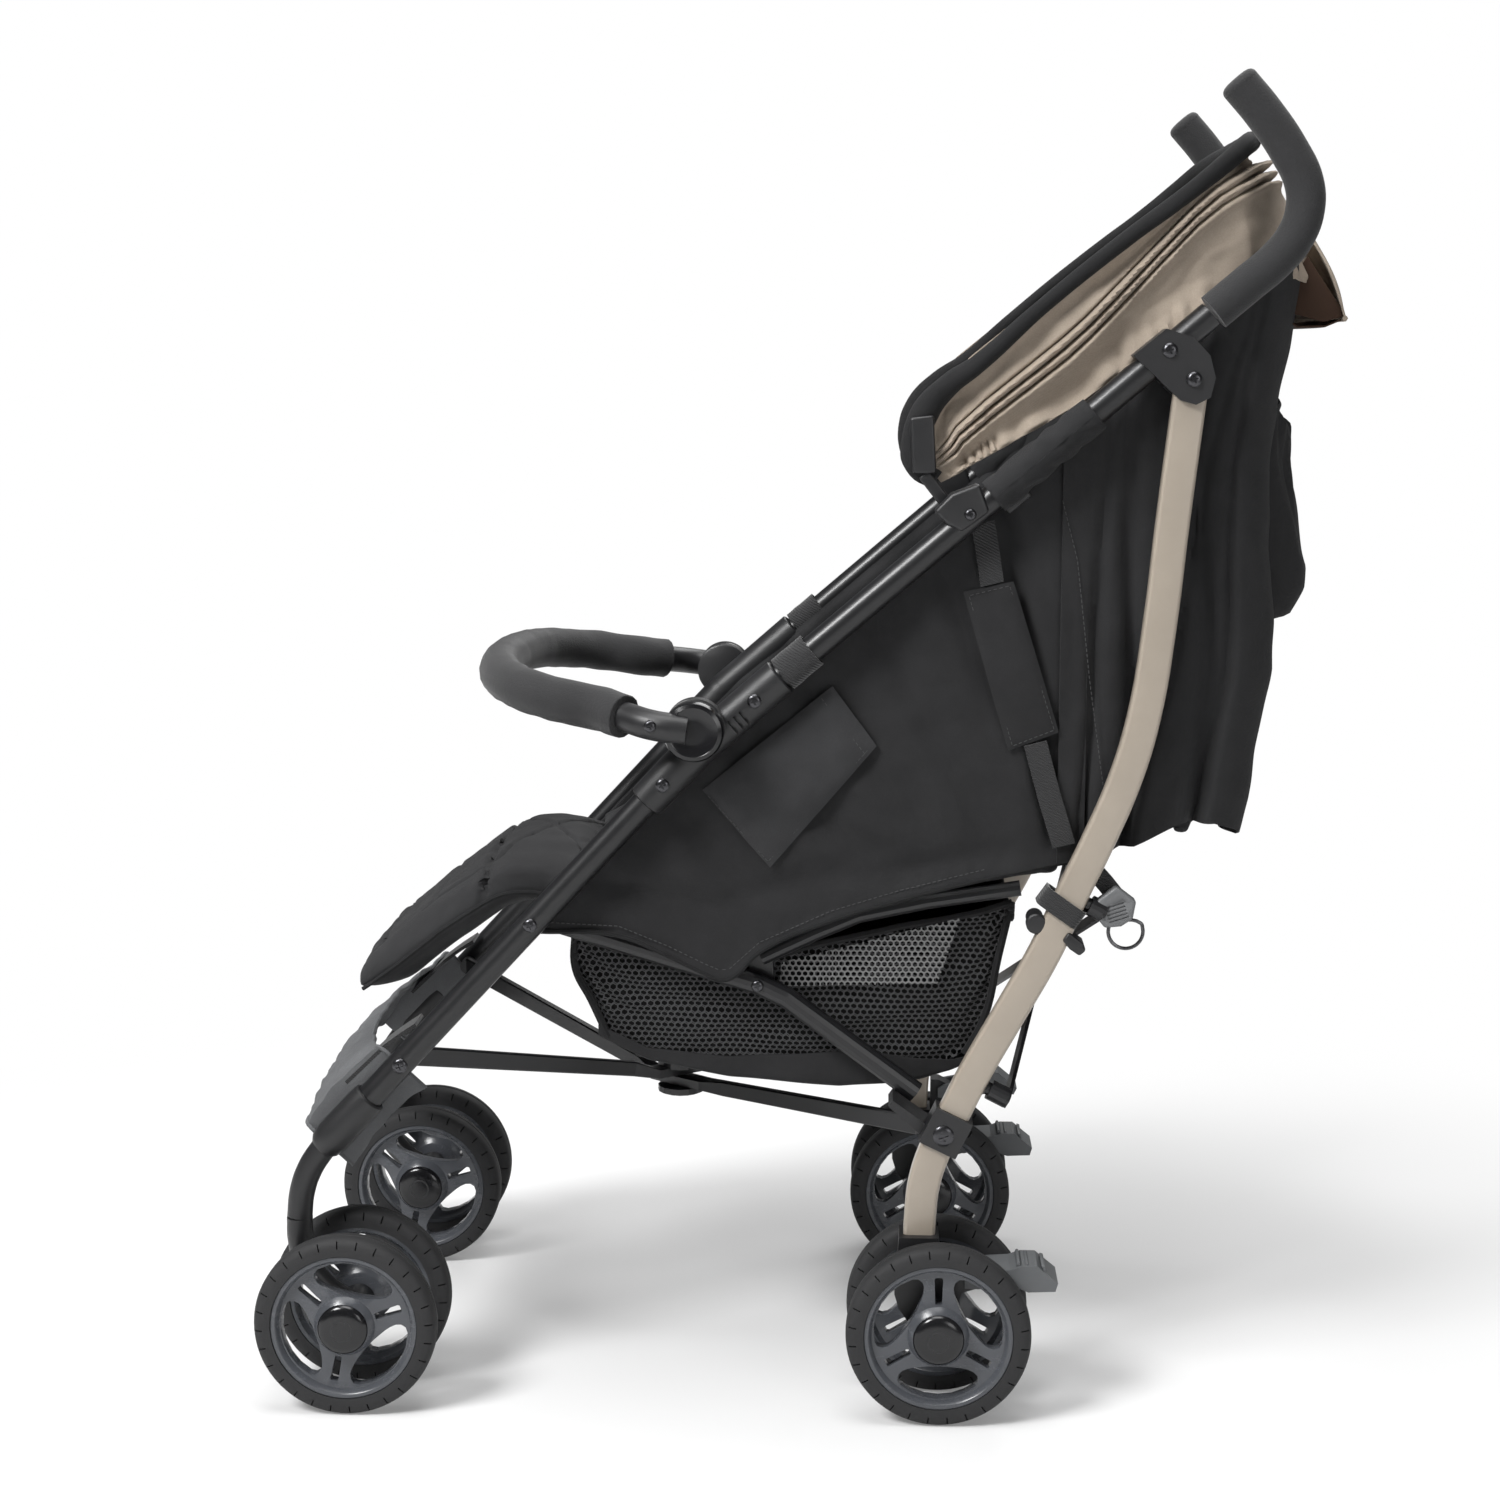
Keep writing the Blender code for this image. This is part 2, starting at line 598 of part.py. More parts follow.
def make_wheels():
    """Eight wheels and four axles with dome caps."""
    rim, tyre = make_wheel_meshes()
    for end, point, turn in (("front", FRONT_AXLE, 45.0), ("rear", REAR_AXLE, 0.0)):
        for side, sign in (("left", 1), ("right", -1)):
            for place, offset in (("outer", TWIN_OFFSET), ("inner", -TWIN_OFFSET)):
                centre = at(sign * (SIDE_X + offset), point)
                stem = "_".join((end, side, place))
                place_copy(rim, "rim_" + stem, "rim_plastic", centre, turn)
                place_copy(tyre, "tyre_" + stem, "tyre_rubber", centre, turn)
        centre = at(SIDE_X, point)
        face = TWIN_OFFSET + HUB_HALF + GAP
        profile = [
            (-face - CAP_DEPTH, 0.0090), (-face - 0.0030, CAP_R - 0.0010), (-face, CAP_R),
            (-face + 0.0001, AXLE_R),
        ]
        profile += [(-s, r) for s, r in reversed(profile)]
        axle = turned("axle", profile, centre, 20)
        origin = centre if end == "front" else at(SIDE_X, TOP_PIVOT)
        both_sides(axle, end + "_axle", "black_plastic", origin)
    bpy.data.objects.remove(rim, do_unlink=True)
    bpy.data.objects.remove(tyre, do_unlink=True)


def make_side_links():
    """Lower side tubes from the front tube to the rear leg."""
    body = sweep("link", side_path(LINK_PATH, LINK_X), circle(LINK_R, 14))
    start = at(LINK_X, LINK_PIVOT)
    pin = rod("pin", start, start + Vector((SIDE_X - FRONT_TUBE_R - GAP - LINK_X, 0, 0)), 0.005, 12)
    lug = prism("lug", [
        (-0.0270, 0.3420), (-0.0225, 0.3745), (-0.0140, 0.3790), (-0.0060, 0.3745), (-0.0030, 0.3400),
    ], 0.1405, 0.1478)
    join(body, pin, lug)
    hole = at(LINK_X, RAIL_PIVOT)
    cut(body, rod("hole", hole - Vector((0.02, 0, 0)), hole, 0.0033, 12))
    both_sides(body, "side_link", "black_paint", at(LINK_X, LINK_PIVOT))


def make_seat_rails():
    """Thin rails from the side links up to the rear legs."""
    body = sweep("rail", side_path(RAIL_PATH, LINK_X), circle(RAIL_R, 12))
    start = at(LINK_X, RAIL_PIVOT)
    join(body, rod("pin", start, start - Vector((0.0160, 0, 0)), 0.0030, 12))
    both_sides(body, "seat_rail", "black_paint", at(LINK_X, RAIL_PIVOT))


def make_bottom_cross():
    """Crossed bars under the basket, each bent at the centre pivot."""
    front_x, rear_x = 0.160, 0.140
    pivot = (-0.0920, 0.2280)
    rear = (0.1150, 0.2260)
    section = [
        (-0.0035, -0.0068), (-0.0024, -0.0080), (0.0024, -0.0080), (0.0035, -0.0068),
        (0.0035, 0.0068), (0.0024, 0.0080), (-0.0024, 0.0080), (-0.0035, 0.0068),
    ]
    for name, sign, lift in (("bottom_bar_a", 1, 0.0049), ("bottom_bar_b", -1, -0.0049)):
        path = [
            at(sign * front_x, CROSS_PIVOT),
            at(sign * 0.0300, (pivot[0] - 0.0400, pivot[1] + 0.0070 + lift)),
            at(sign * 0.0170, (pivot[0] - 0.0220, pivot[1] + lift)),
            at(0.0, (pivot[0], pivot[1] + lift)),
            at(-sign * 0.0170, (pivot[0] + 0.0220, pivot[1] + lift)),
            at(-sign * 0.0300, (pivot[0] + 0.0400, pivot[1] + lift)),
            at(-sign * rear_x, rear),
        ]
        scales = [(1, 1), (1.3, 0.8), (2.5, 0.55), (2.7, 0.55), (2.5, 0.55), (1.3, 0.8), (1, 1)]
        body = sweep(name, path, section, Vector((0, 0, 1)), scales)
        centre = Vector((0, pivot[0] + SHIFT_Y, 0))
        if sign > 0:
            low = pivot[1] - 0.0049 - 0.0044 - GAP - 0.0002
            top = pivot[1] + 0.0049 + 0.0030
            spool = turned("spool", [
                (low - 0.0065, 0.0170), (low - 0.0050, 0.0205), (low, 0.0205), (low + 0.0001, 0.0042),
                (top - 0.0001, 0.0042), (top, 0.0205), (top + 0.0065, 0.0205), (top + 0.0080, 0.0170),
            ], centre, 16, "Z")
            join(body, spool)
        else:
            cut(body, turned("hole", [(0.15, 0.0046), (0.30, 0.0046)], centre, 16, "Z"))
        end = at(sign * front_x, CROSS_PIVOT)
        stub = rod("stub", end - Vector((sign * 0.004, 0, 0)),
                   at(sign * (SIDE_X - FRONT_TUBE_R - GAP), CROSS_PIVOT), 0.0065, 14)
        join(body, stub)
        finish(body, name, "black_paint", at(0, CROSS_PIVOT))


def make_rear_cross():
    """Crossed flat bars behind the rear legs, with stand-off barrels."""
    upper = at(0, (0.2350, 0.4300))
    lower = at(0, (0.1570, 0.2770))
    down = (lower - upper).normalized()
    back = Vector((0, -down.z, down.y))
    half = LEG_WIDTH / 2
    stand = 0.0150
    thick = 0.0030
    for name, sign, step in (("rear_bar_a", 1, 0.0), ("rear_bar_b", -1, thick + 0.0006)):
        near = half + stand + step
        start = upper + Vector((sign * SIDE_X, 0, 0))
        end = lower + Vector((-sign * SIDE_X, 0, 0))
        along = (end - start).normalized()
        wide = along.cross(back).normalized()
        ring = []
        for a, b in ((-0.012, -0.004), (-0.008, -0.006), (0.008, -0.006), (0.012, -0.004),
                     (0.012, 0.004), (0.008, 0.006), (-0.008, 0.006), (-0.012, 0.004)):
            base = start if a < 0 else end
            shift = a + 0.004 if a < 0 else a - 0.004
            ring.append(base + along * shift + wide * b)
        body = rings_to_object(name, [[p + back * d for p in ring] for d in (near, near + thick)])
        for point in (start, end):
            seat = half + GAP + 0.0006
            barrel = rod("barrel", point + back * (seat + 0.0030), point + back * (near + thick / 2),
                         0.0085, 16)
            pad = rod("pad", point + back * seat, point + back * (seat + 0.0050), 0.0055, 12)
            join(body, barrel, pad)
        middle = (start + end) / 2
        if sign > 0:
            join(body, rod("rivet", middle + back * (near + thick / 2), middle + back * (near + 0.0085),
                           0.0030, 12))
        else:
            cut(body, rod("hole", middle + back * (near - 0.01), middle + back * (near + 0.02), 0.0034, 12))
        finish(body, name, "black_paint", at(0, TOP_PIVOT))


def make_collars():
    """Bracket round the bend of each front tube, with the bumper bar's boss."""
    points = [(-0.106, 0.5032), (-0.080, 0.5310), (-0.0639, 0.5475), (-0.045, 0.5645), (0.003, 0.6058)]
    body = sweep("collar", side_path(points), circle(0.0160, 16))
    inboard = block("inboard", (0.10, -0.3, 0.4), (SIDE_X - FRONT_TUBE_R - 0.0008, 0.3, 0.8))
    boss = rod("boss", at(SIDE_X + 0.004, KNUCKLE), at(SIDE_X + 0.0200, KNUCKLE), 0.0260, 20)
    web = prism("web", [
        (-0.098, 0.512), (-0.070, 0.500), (-0.050, 0.515), (-0.042, 0.548), (-0.060, 0.560),
        (-0.088, 0.548),
    ], SIDE_X - 0.004, SIDE_X + 0.0150)
    join(body, boss, web)
    tube = tube_bore()
    cut(body, inboard, tube)
    both_sides(body, "tube_collar", "black_plastic")


def bumper_path():
    """Centre line of the bumper bar from the left knuckle to the right one."""
    half = [
        (0.2175, -0.0720, 0.5665), (0.2175, -0.0960, 0.5700), (0.2000, -0.1210, 0.5745),
        (0.1830, -0.1450, 0.5790), (0.1740, -0.1750, 0.5840), (0.1560, -0.2010, 0.5885),
        (0.1300, -0.2200, 0.5920), (0.0950, -0.2330, 0.5945), (0.0480, -0.2400, 0.5960),
    ]
    right = [(-x, y, z) for x, y, z in reversed(half)]
    return [Vector((x, y + SHIFT_Y, z)) for x, y, z in half + [(0.0, -0.2420, 0.5965)] + right]


def make_bumper_bar():
    """Padded bumper bar with a round knuckle at each end."""
    path = bumper_path()
    count = len(path)
    scales = []
    for i in range(count):
        covered = 2 <= i <= count - 3
        size = 1.0 if covered else 0.72
        scales.append((size, size))
    body = sweep("bar", path, circle(0.0180, 12), Vector((0, 0, 1)), scales)
    for sign in (1, -1):
        inner = at(sign * (SIDE_X + 0.0200 + GAP), KNUCKLE)
        low, high = (0.0, 0.0200) if sign > 0 else (-0.0200, 0.0)
        disc = turned("disc", [
            (low, 0.0250 if sign > 0 else 0.0225), (low + 0.0020, 0.0262), (high - 0.0020, 0.0262),
            (high, 0.0225 if sign > 0 else 0.0250),
        ], inner, 20)
        join(body, disc)
    finish(body, "bumper_bar", "grip_foam", at(0, KNUCKLE))


def make_canopy_clamps():
    """Clamps on the front tubes that carry the canopy's pivots."""
    start = at(SIDE_X, (0.1390, 0.7219))
    end = at(SIDE_X, (0.1630, 0.7424))
    body = rod("clamp", start, end, 0.0160, 20)
    outline = [
        (0.1310, 0.7180), (0.1240, 0.7330), (0.1000, 0.7760), (0.0960, 0.7900), (0.1020, 0.8010),
        (0.1180, 0.8030), (0.1280, 0.7930), (0.1480, 0.7600), (0.1580, 0.7520),
    ]
    plate = prism("plate", outline, SIDE_X - 0.0035, SIDE_X + 0.0125)
    join(body, plate)
    tube = tube_bore()
    pivot = at(SIDE_X, CANOPY_PIVOT)
    inboard = block("inboard", (0.10, -0.3, 0.6), (SIDE_X - FRONT_TUBE_R - 0.0008, 0.5, 0.9))
    cut(body, tube, inboard)
    join(body, rod("pin", pivot - Vector((0.0255, 0, 0)), pivot, 0.0040, 14))
    both_sides(body, "canopy_clamp", "black_plastic")


CANOPY_TOP = [
    (0.112, 0.800), (0.126, 0.832), (0.150, 0.856), (0.210, 0.9050), (0.266, 0.9460), (0.318, 0.9850),
]
CANOPY_LOW = [
    (0.134, 0.768), (0.150, 0.778), (0.172, 0.791), (0.2370, 0.8250), (0.2900, 0.8600), (0.345, 0.8930),
]


def make_canopy_hood():
    """Gathered canopy fabric behind the front bow, with its rear flap."""
    outer_x = 0.1560
    stations = [(outer_x, top, low, 0.0) for top, low in zip(CANOPY_TOP, CANOPY_LOW)]
    corner = [
        (0.1520, (0.345, 1.0020), (0.385, 0.9080)), (0.1360, (0.360, 1.0120), (0.412, 0.9140)),
        (0.1080, (0.370, 1.0180), (0.432, 0.9020)), (0.0600, (0.376, 1.0210), (0.4460, 0.8860)),
        (0.0, (0.378, 1.0220), (0.4490, 0.8830)),
    ]
    stations += [(x, top, low, 1.0) for x, top, low in corner]
    full = stations + [(-x, top, low, k) for x, top, low, k in reversed(stations[:-1])]
    rows = 9
    wall = 0.0030
    outer, inner = [], []
    for x, top, low, over in full:
        column_out, column_in = [], []
        for r in range(rows):
            t = r / (rows - 1)
            wave = 0.0045 * math.sin(t * math.pi * 3.0) ** 2
            y = top[0] + (low[0] - top[0]) * t
            z = top[1] + (low[1] - top[1]) * t
            sign = 1 if x > 0 else -1
            swell = 0.010 * math.sin(t * math.pi)
            if over:
                lean = abs(x) / outer_x
                push = Vector((sign * wave * lean, (wave + swell) * (1 - lean * 0.6), (wave + swell) * 0.5))
            else:
                push = Vector((-sign * wave, 0, 0))
            point = at(x, (y, z)) + push
            column_out.append(point)
            centre = at(0, (0.250, 0.830))
            inward = (centre - point)
            inward.x = -sign * abs(x) * (0.0 if over and abs(x) < 0.05 else 1.0)
            if not over:
                inward = Vector((-sign, 0, 0))
            column_in.append(point + inward.normalized() * wall)
        outer.append(column_out)
        inner.append(column_in)
    body = shell_object("hood", outer, inner)
    finish(body, "canopy_hood", "tan_fabric")


def shell_object(name, outer, inner):
    """Close two equal grids of points into one thin solid."""
    mesh = bmesh.new()
    out = [[mesh.verts.new(p) for p in column] for column in outer]
    ins = [[mesh.verts.new(p) for p in column] for column in inner]
    columns, rows = len(out), len(out[0])
    for c in range(columns - 1):
        for r in range(rows - 1):
            mesh.faces.new((out[c][r], out[c + 1][r], out[c + 1][r + 1], out[c][r + 1]))
            mesh.faces.new((ins[c][r], ins[c][r + 1], ins[c + 1][r + 1], ins[c + 1][r]))
    for c in range(columns - 1):
        mesh.faces.new((out[c][0], ins[c][0], ins[c + 1][0], out[c + 1][0]))
        mesh.faces.new((out[c][-1], out[c + 1][-1], ins[c + 1][-1], ins[c][-1]))
    for r in range(rows - 1):
        mesh.faces.new((out[0][r], out[0][r + 1], ins[0][r + 1], ins[0][r]))
        mesh.faces.new((out[-1][r], ins[-1][r], ins[-1][r + 1], out[-1][r + 1]))
    return from_bmesh(name, mesh)


def make_canopy_bow():
    """Black front bow of the canopy, pivoted on the clamps."""
    x = 0.1600
    half = [
        (x, 0.1120, 0.7850), (x, 0.1120, 0.8060), (x, 0.1250, 0.8370), (x, 0.1480, 0.8610),
        (x, 0.2080, 0.9100), (x, 0.2640, 0.9510), (0.1590, 0.3200, 0.9920), (0.1550, 0.3440, 1.0085),
        (0.1370, 0.3600, 1.0175), (0.1080, 0.3700, 1.0235), (0.0600, 0.3760, 1.0265),
    ]
    right = [(-a, b, c) for a, b, c in reversed(half)]
    points = half + [(0.0, 0.3780, 1.0275)] + right
    path = [Vector((a, b + SHIFT_Y, c)) for a, b, c in points]
    body = sweep("bow", path, circle(0.0036, 8), Vector((0, -0.62, 0.78)))
    for sign in (1, -1):
        centre = at(sign * x, CANOPY_PIVOT)
        eye = rod("eye", centre - Vector((0.0036, 0, 0)), centre + Vector((0.0036, 0, 0)), 0.0090, 12)
        join(body, eye)
        cut(body, rod("hole", centre - Vector((0.01, 0, 0)), centre + Vector((0.01, 0, 0)), 0.0043, 10))
    finish(body, "canopy_bow", "black_fabric", at(0, CANOPY_PIVOT))


SEAT_STATIONS = [
    # y, side top, side hem, seat surface, half width, sag of the side
    (-0.1650, 0.4265, 0.3795, 0.4225, 0.1690, 0.0),
    (-0.1500, 0.4400, 0.3755, 0.4300, 0.1700, 0.0),
    (-0.1300, 0.4600, 0.3700, 0.4400, 0.1690, 0.0),
    (-0.0900, 0.4955, 0.3600, 0.4480, 0.1700, 0.0),
    (-0.0480, 0.5370, 0.3490, 0.4470, 0.1688, 0.0010),
    (-0.0300, 0.5530, 0.3640, 0.4450, 0.1700, 0.0015),
    (-0.0150, 0.5670, 0.3830, 0.4440, 0.1690, 0.0020),
    (0.0080, 0.5850, 0.3935, 0.4440, 0.1700, 0.0025),
    (0.0220, 0.6210, 0.3995, 0.4440, 0.1712, 0.0030),
    (0.0600, 0.6540, 0.4125, 0.4445, 0.1712, 0.0030),
    (0.1080, 0.6940, 0.4235, 0.4450, 0.1712, 0.0030),
    (0.1220, 0.7065, 0.4265, 0.4460, 0.1698, 0.0025),
    (0.1670, 0.7450, 0.4360, 0.4500, 0.1698, 0.0020),
    (0.2050, 0.7770, 0.4440, 0.4560, 0.1700, 0.0),
    (0.2345, 0.8020, 0.4520, 0.4620, 0.1688, 0.0),
]
SEAT_WALL = 0.0035
SEAT_PAD = 0.0140


def make_seat_fabric():
    """Hammock seat: two hanging sides on the tubes and a padded bottom between them."""
    rings = []
    for y, top, hem, seat, side, sag in SEAT_STATIONS:
        inner = side - SEAT_WALL
        low = max(seat - SEAT_PAD, hem + 0.0020)
        mid = (top + hem) / 2
        high = max(seat + 0.0010, (top + seat) / 2)
        half = [
            (side, top), (side - sag, mid), (side, hem), (inner, hem), (inner, low),
            (inner * 0.5, low - 0.0020),
        ]
        upper = [
            (inner * 0.5, seat - 0.0040), (inner, seat), (inner - sag, high), (inner, top),
        ]
        ring = half + [(0.0, low - 0.0030)] + [(-x, z) for x, z in reversed(half)]
        ring += [(-x, z) for x, z in reversed(upper)] + [(0.0, seat - 0.0060)] + upper
        rings.append([Vector((x, y + SHIFT_Y, z)) for x, z in ring])
    finish(rings_to_object("seat", rings), "seat_fabric", "black_fabric", angle=50)


BACK_STATIONS = [
    # z, front edge of the wings, inner back, outer back, half width
    (0.4560, 0.2380, 0.3250, 0.3480, 0.1560),
    (0.4720, 0.2360, 0.3420, 0.3700, 0.1620),
    (0.5000, 0.2340, 0.3520, 0.3790, 0.1650),
    (0.5340, 0.2330, 0.3570, 0.3830, 0.1650),
    (0.5610, 0.2340, 0.3600, 0.3870, 0.1650),
    (0.6060, 0.2350, 0.3650, 0.3930, 0.1650),
    (0.6480, 0.2360, 0.3650, 0.4180, 0.1650),
    (0.6870, 0.2380, 0.3640, 0.4280, 0.1650),
    (0.7230, 0.2400, 0.3630, 0.4200, 0.1650),
    (0.7550, 0.2425, 0.3635, 0.4110, 0.1650),
    (0.7750, 0.2440, 0.3640, 0.4060, 0.1595),
    (0.7950, 0.2460, 0.3665, 0.4000, 0.1525),
    (0.8160, 0.2520, 0.3690, 0.3950, 0.1500),
    (0.8600, 0.3000, 0.3740, 0.3990, 0.1420),
    (0.8900, 0.3420, 0.3820, 0.4050, 0.1220),
    (0.9050, 0.3520, 0.3850, 0.4050, 0.1150),
]
BACK_WING = 0.0110
BACK_DEPTH = 0.3930  # rearmost y of the back beside its pocket


def make_back_panel():
    """Reclined back with rounded corners, side wings and a bulging rear pocket."""
    rings = []
    for z, front, inner, outer, half in BACK_STATIONS:
        body = min(outer, BACK_DEPTH)
        shell = [
            (half, front), (half, max(front + 0.0040, body - 0.0500)), (half * 0.93, body - 0.0200),
            (half * 0.74, body - 0.0020), (half * 0.64, body), (half * 0.59, outer),
            (half * 0.30, outer + 0.0020),
        ]
        lining = [
            (half * 0.40, inner + 0.0015), (half - BACK_WING - 0.0140, inner),
            (half - BACK_WING, (front + inner) / 2), (half - BACK_WING, front),
        ]
        ring = shell + [(0.0, outer + 0.0026)] + [(-x, y) for x, y in reversed(shell)]
        ring += [(-x, y) for x, y in reversed(lining)] + [(0.0, inner + 0.0020)] + lining
        rings.append([Vector((x, y + SHIFT_Y, z)) for x, y in ring])
    finish(rings_to_object("back", rings), "back_panel", "black_fabric", at(0, RECLINE_PIVOT), 50)


def make_leg_rest():
    """Quilted calf pad hinged at the seat's front edge."""
    centre_line = [
        (-0.1580, 0.4480), (-0.1950, 0.4530), (-0.2400, 0.4200), (-0.2750, 0.3930), (-0.3100, 0.3640),
        (-0.3380, 0.3420), (-0.3500, 0.3330),
    ]
    thickness = [0.010, 0.0200, 0.0220, 0.0215, 0.0190, 0.0135, 0.0060]
    half_width = [0.108, 0.120, 0.1235, 0.1240, 0.1235, 0.1180, 0.1080]
    path = side_path(centre_line, 0.0)
    rings = []
    for (point, side, top, _), thick, half in zip(frames(path, Vector((1, 0, 0))), thickness, half_width):
        ring = []
        for u, v in (
            (1.0, 0.0), (0.94, 0.62), (0.80, 0.92), (0.62, 0.84), (0.42, 1.0), (0.2, 0.86), (0.0, 1.0),
            (-0.2, 0.86), (-0.42, 1.0), (-0.62, 0.84), (-0.80, 0.92), (-0.94, 0.62), (-1.0, 0.0),
            (-0.94, -0.62), (-0.80, -0.90), (-0.42, -0.96), (0.0, -1.0), (0.42, -0.96), (0.80, -0.90),
            (0.94, -0.62),
        ):
            ring.append(point + top * (u * half) + side * (v * thick))
        rings.append(ring)
    body = rings_to_object("pad", rings)
    lug_r = 0.0029
    reach = SIDE_X - FRONT_TUBE_R - GAP - lug_r
    centre = at(0, LEG_REST_PIVOT)
    across = Vector((reach, 0, 0))
    join(body, rod("wire", centre - across, centre + across, 0.0040, 10))
    for sign in (1, -1):
        join(body, rod("lug", at(sign * reach, LEG_REST_PIVOT), at(sign * reach, LEG_REST_HOLD), lug_r, 10))
    finish(body, "leg_rest", "black_fabric", centre, 60)


def make_foot_sling():
    """Fabric foot rest stretched across the front tubes."""
    top = at(0, (-0.3060, 0.2865))
    bottom = at(0, (-0.3765, 0.2102))
    along = (bottom - top).normalized()
    out = Vector((0, along.z, -along.y))
    wall = 0.0040
    socket_r = 0.0150
    outer, inner = [], []
    for k in range(9):
        u = -1 + 2 * k / 8
        lift = socket_r + wall + 0.0005 + 0.0135 * (1 - u * u)
        across = Vector((u * SIDE_X, 0, 0))
        column = [top.lerp(bottom, t) + across + out * lift for t in (0, 0.2, 0.4, 0.6, 0.8, 1)]
        outer.append(column)
        inner.append([p - out * wall for p in column])
    finish(shell_object("sling", outer, inner), "foot_sling", "grey_fabric", angle=50)


BASKET_STATIONS = [
    # y, rim height, floor height, half width of the rim
    (-0.1560, 0.3640, 0.3420, 0.1260),
    (-0.1480, 0.3560, 0.3160, 0.1350),
    (-0.1340, 0.3500, 0.2880, 0.1360),
    (-0.1100, 0.3440, 0.2720, 0.1370),
    (-0.0660, 0.3380, 0.2655, 0.1350),
    (-0.0160, 0.3640, 0.2630, 0.1360),
    (0.0200, 0.3740, 0.2620, 0.1370),
    (0.0580, 0.3850, 0.2620, 0.1360),
    (0.1000, 0.4137, 0.2665, RAIL_FACE),
    (0.1200, 0.4180, 0.2700, RAIL_FACE),
    (0.1560, 0.4060, 0.2960, 0.1370),
    (0.1700, 0.4080, 0.3400, 0.1360),
    (0.1820, 0.4120, 0.3900, 0.1260),
]
BASKET_HALF = 0.1360
BASKET_WALL = 0.0035


def make_basket():
    """Open mesh basket whose rim hangs on the seat rails."""
    spread = [
        (-1.0, 1.0), (-1.0, 0.5), (-0.985, 0.12), (-0.90, 0.0), (-0.5, -0.03), (0.0, -0.05), (0.5, -0.03),
        (0.90, 0.0), (0.985, 0.12), (1.0, 0.5), (1.0, 1.0),
    ]
    outer, inner = [], []
    for y, rim, floor, rim_half in BASKET_STATIONS:
        low_half = min(BASKET_HALF, rim_half)
        column_out, column_in = [], []
        for u, v in spread:
            half = rim_half if v == 1.0 else low_half
            column_out.append(Vector((u * half, y + SHIFT_Y, floor + (rim - floor) * v)))
            inside = max(abs(u) * half - BASKET_WALL, 0.0) * (1 if u > 0 else -1)
            height = max(floor + BASKET_WALL, floor + (rim - floor) * v) if v < 1 else rim
            column_in.append(Vector((inside, y + SHIFT_Y, height + (0 if v >= 0.5 else BASKET_WALL * 0.6))))
        outer.append(column_out)
        inner.append(column_in)
    body = shell_object("basket", outer, inner)
    finish(body, "basket", "black_fabric", angle=50)


def main():
    """Build every piece."""
    clear_scene()
    make_front_tubes()
    make_grips()
    make_top_brackets()
    make_rear_legs()
    make_leg_brackets()
    make_rear_housings()
    make_pedals()
    make_front_feet()
    make_casters()
    make_wheels()
    make_side_links()
    make_seat_rails()
    make_bottom_cross()
    make_rear_cross()
    make_collars()
    make_bumper_bar()
    make_canopy_clamps()
    make_canopy_hood()
    make_canopy_bow()
    make_seat_fabric()
    make_back_panel()
    make_leg_rest()
    make_foot_sling()
    make_basket()


main()
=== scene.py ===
"""Looks of the umbrella-fold pushchair: paint, plastic, tyres, sewn fabric and mesh on the CAD frame."""

import math

import bpy
from bpy.props import FloatProperty, FloatVectorProperty, PointerProperty
from bpy.types import Operator, Panel, PropertyGroup
from mathutils import Matrix, Vector, noise


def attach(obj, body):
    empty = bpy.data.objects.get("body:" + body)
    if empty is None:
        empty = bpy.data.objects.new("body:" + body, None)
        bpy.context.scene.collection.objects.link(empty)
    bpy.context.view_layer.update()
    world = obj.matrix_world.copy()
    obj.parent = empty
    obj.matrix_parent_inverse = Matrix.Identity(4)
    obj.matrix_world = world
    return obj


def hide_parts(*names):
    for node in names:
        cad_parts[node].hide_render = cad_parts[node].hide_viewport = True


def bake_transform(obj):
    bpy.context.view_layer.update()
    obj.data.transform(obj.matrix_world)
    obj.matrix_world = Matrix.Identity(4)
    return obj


bl_info = {
    "name": "Pushchair looks",
    "version": (1, 0, 0),
    "blender": (4, 5, 0),
    "location": "3D View > Sidebar > Pushchair",
    "description": "Dresses the pushchair frame in paint, plastic, rubber and sewn fabric",
    "category": "Object",
}

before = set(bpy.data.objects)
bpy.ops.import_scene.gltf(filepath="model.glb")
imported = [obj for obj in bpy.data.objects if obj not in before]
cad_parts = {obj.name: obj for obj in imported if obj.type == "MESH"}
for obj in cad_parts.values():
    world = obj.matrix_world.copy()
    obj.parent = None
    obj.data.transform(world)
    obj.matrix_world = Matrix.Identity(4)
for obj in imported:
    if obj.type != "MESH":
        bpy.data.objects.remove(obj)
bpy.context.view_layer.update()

# The CAD's side view is moved by this much so that its box is centred.
SHIFT_Y = -0.0115
SIDE_X = 0.1825
FRONT_AXLE = (-0.351, 0.075)
REAR_AXLE = (0.132, 0.075)
TOP_PIVOT = (0.321, 0.839)
KNUCKLE = (-0.065, 0.565)
TWIN_OFFSET = 0.036
TYRE_HEIGHT = 0.0142
RIM_GAP = 0.0004
SCREW_HEIGHT = 0.0026
STITCH_PITCH = 0.0042
THREAD_PITCH = 0.0009
SIDES = (("left", 1), ("right", -1))

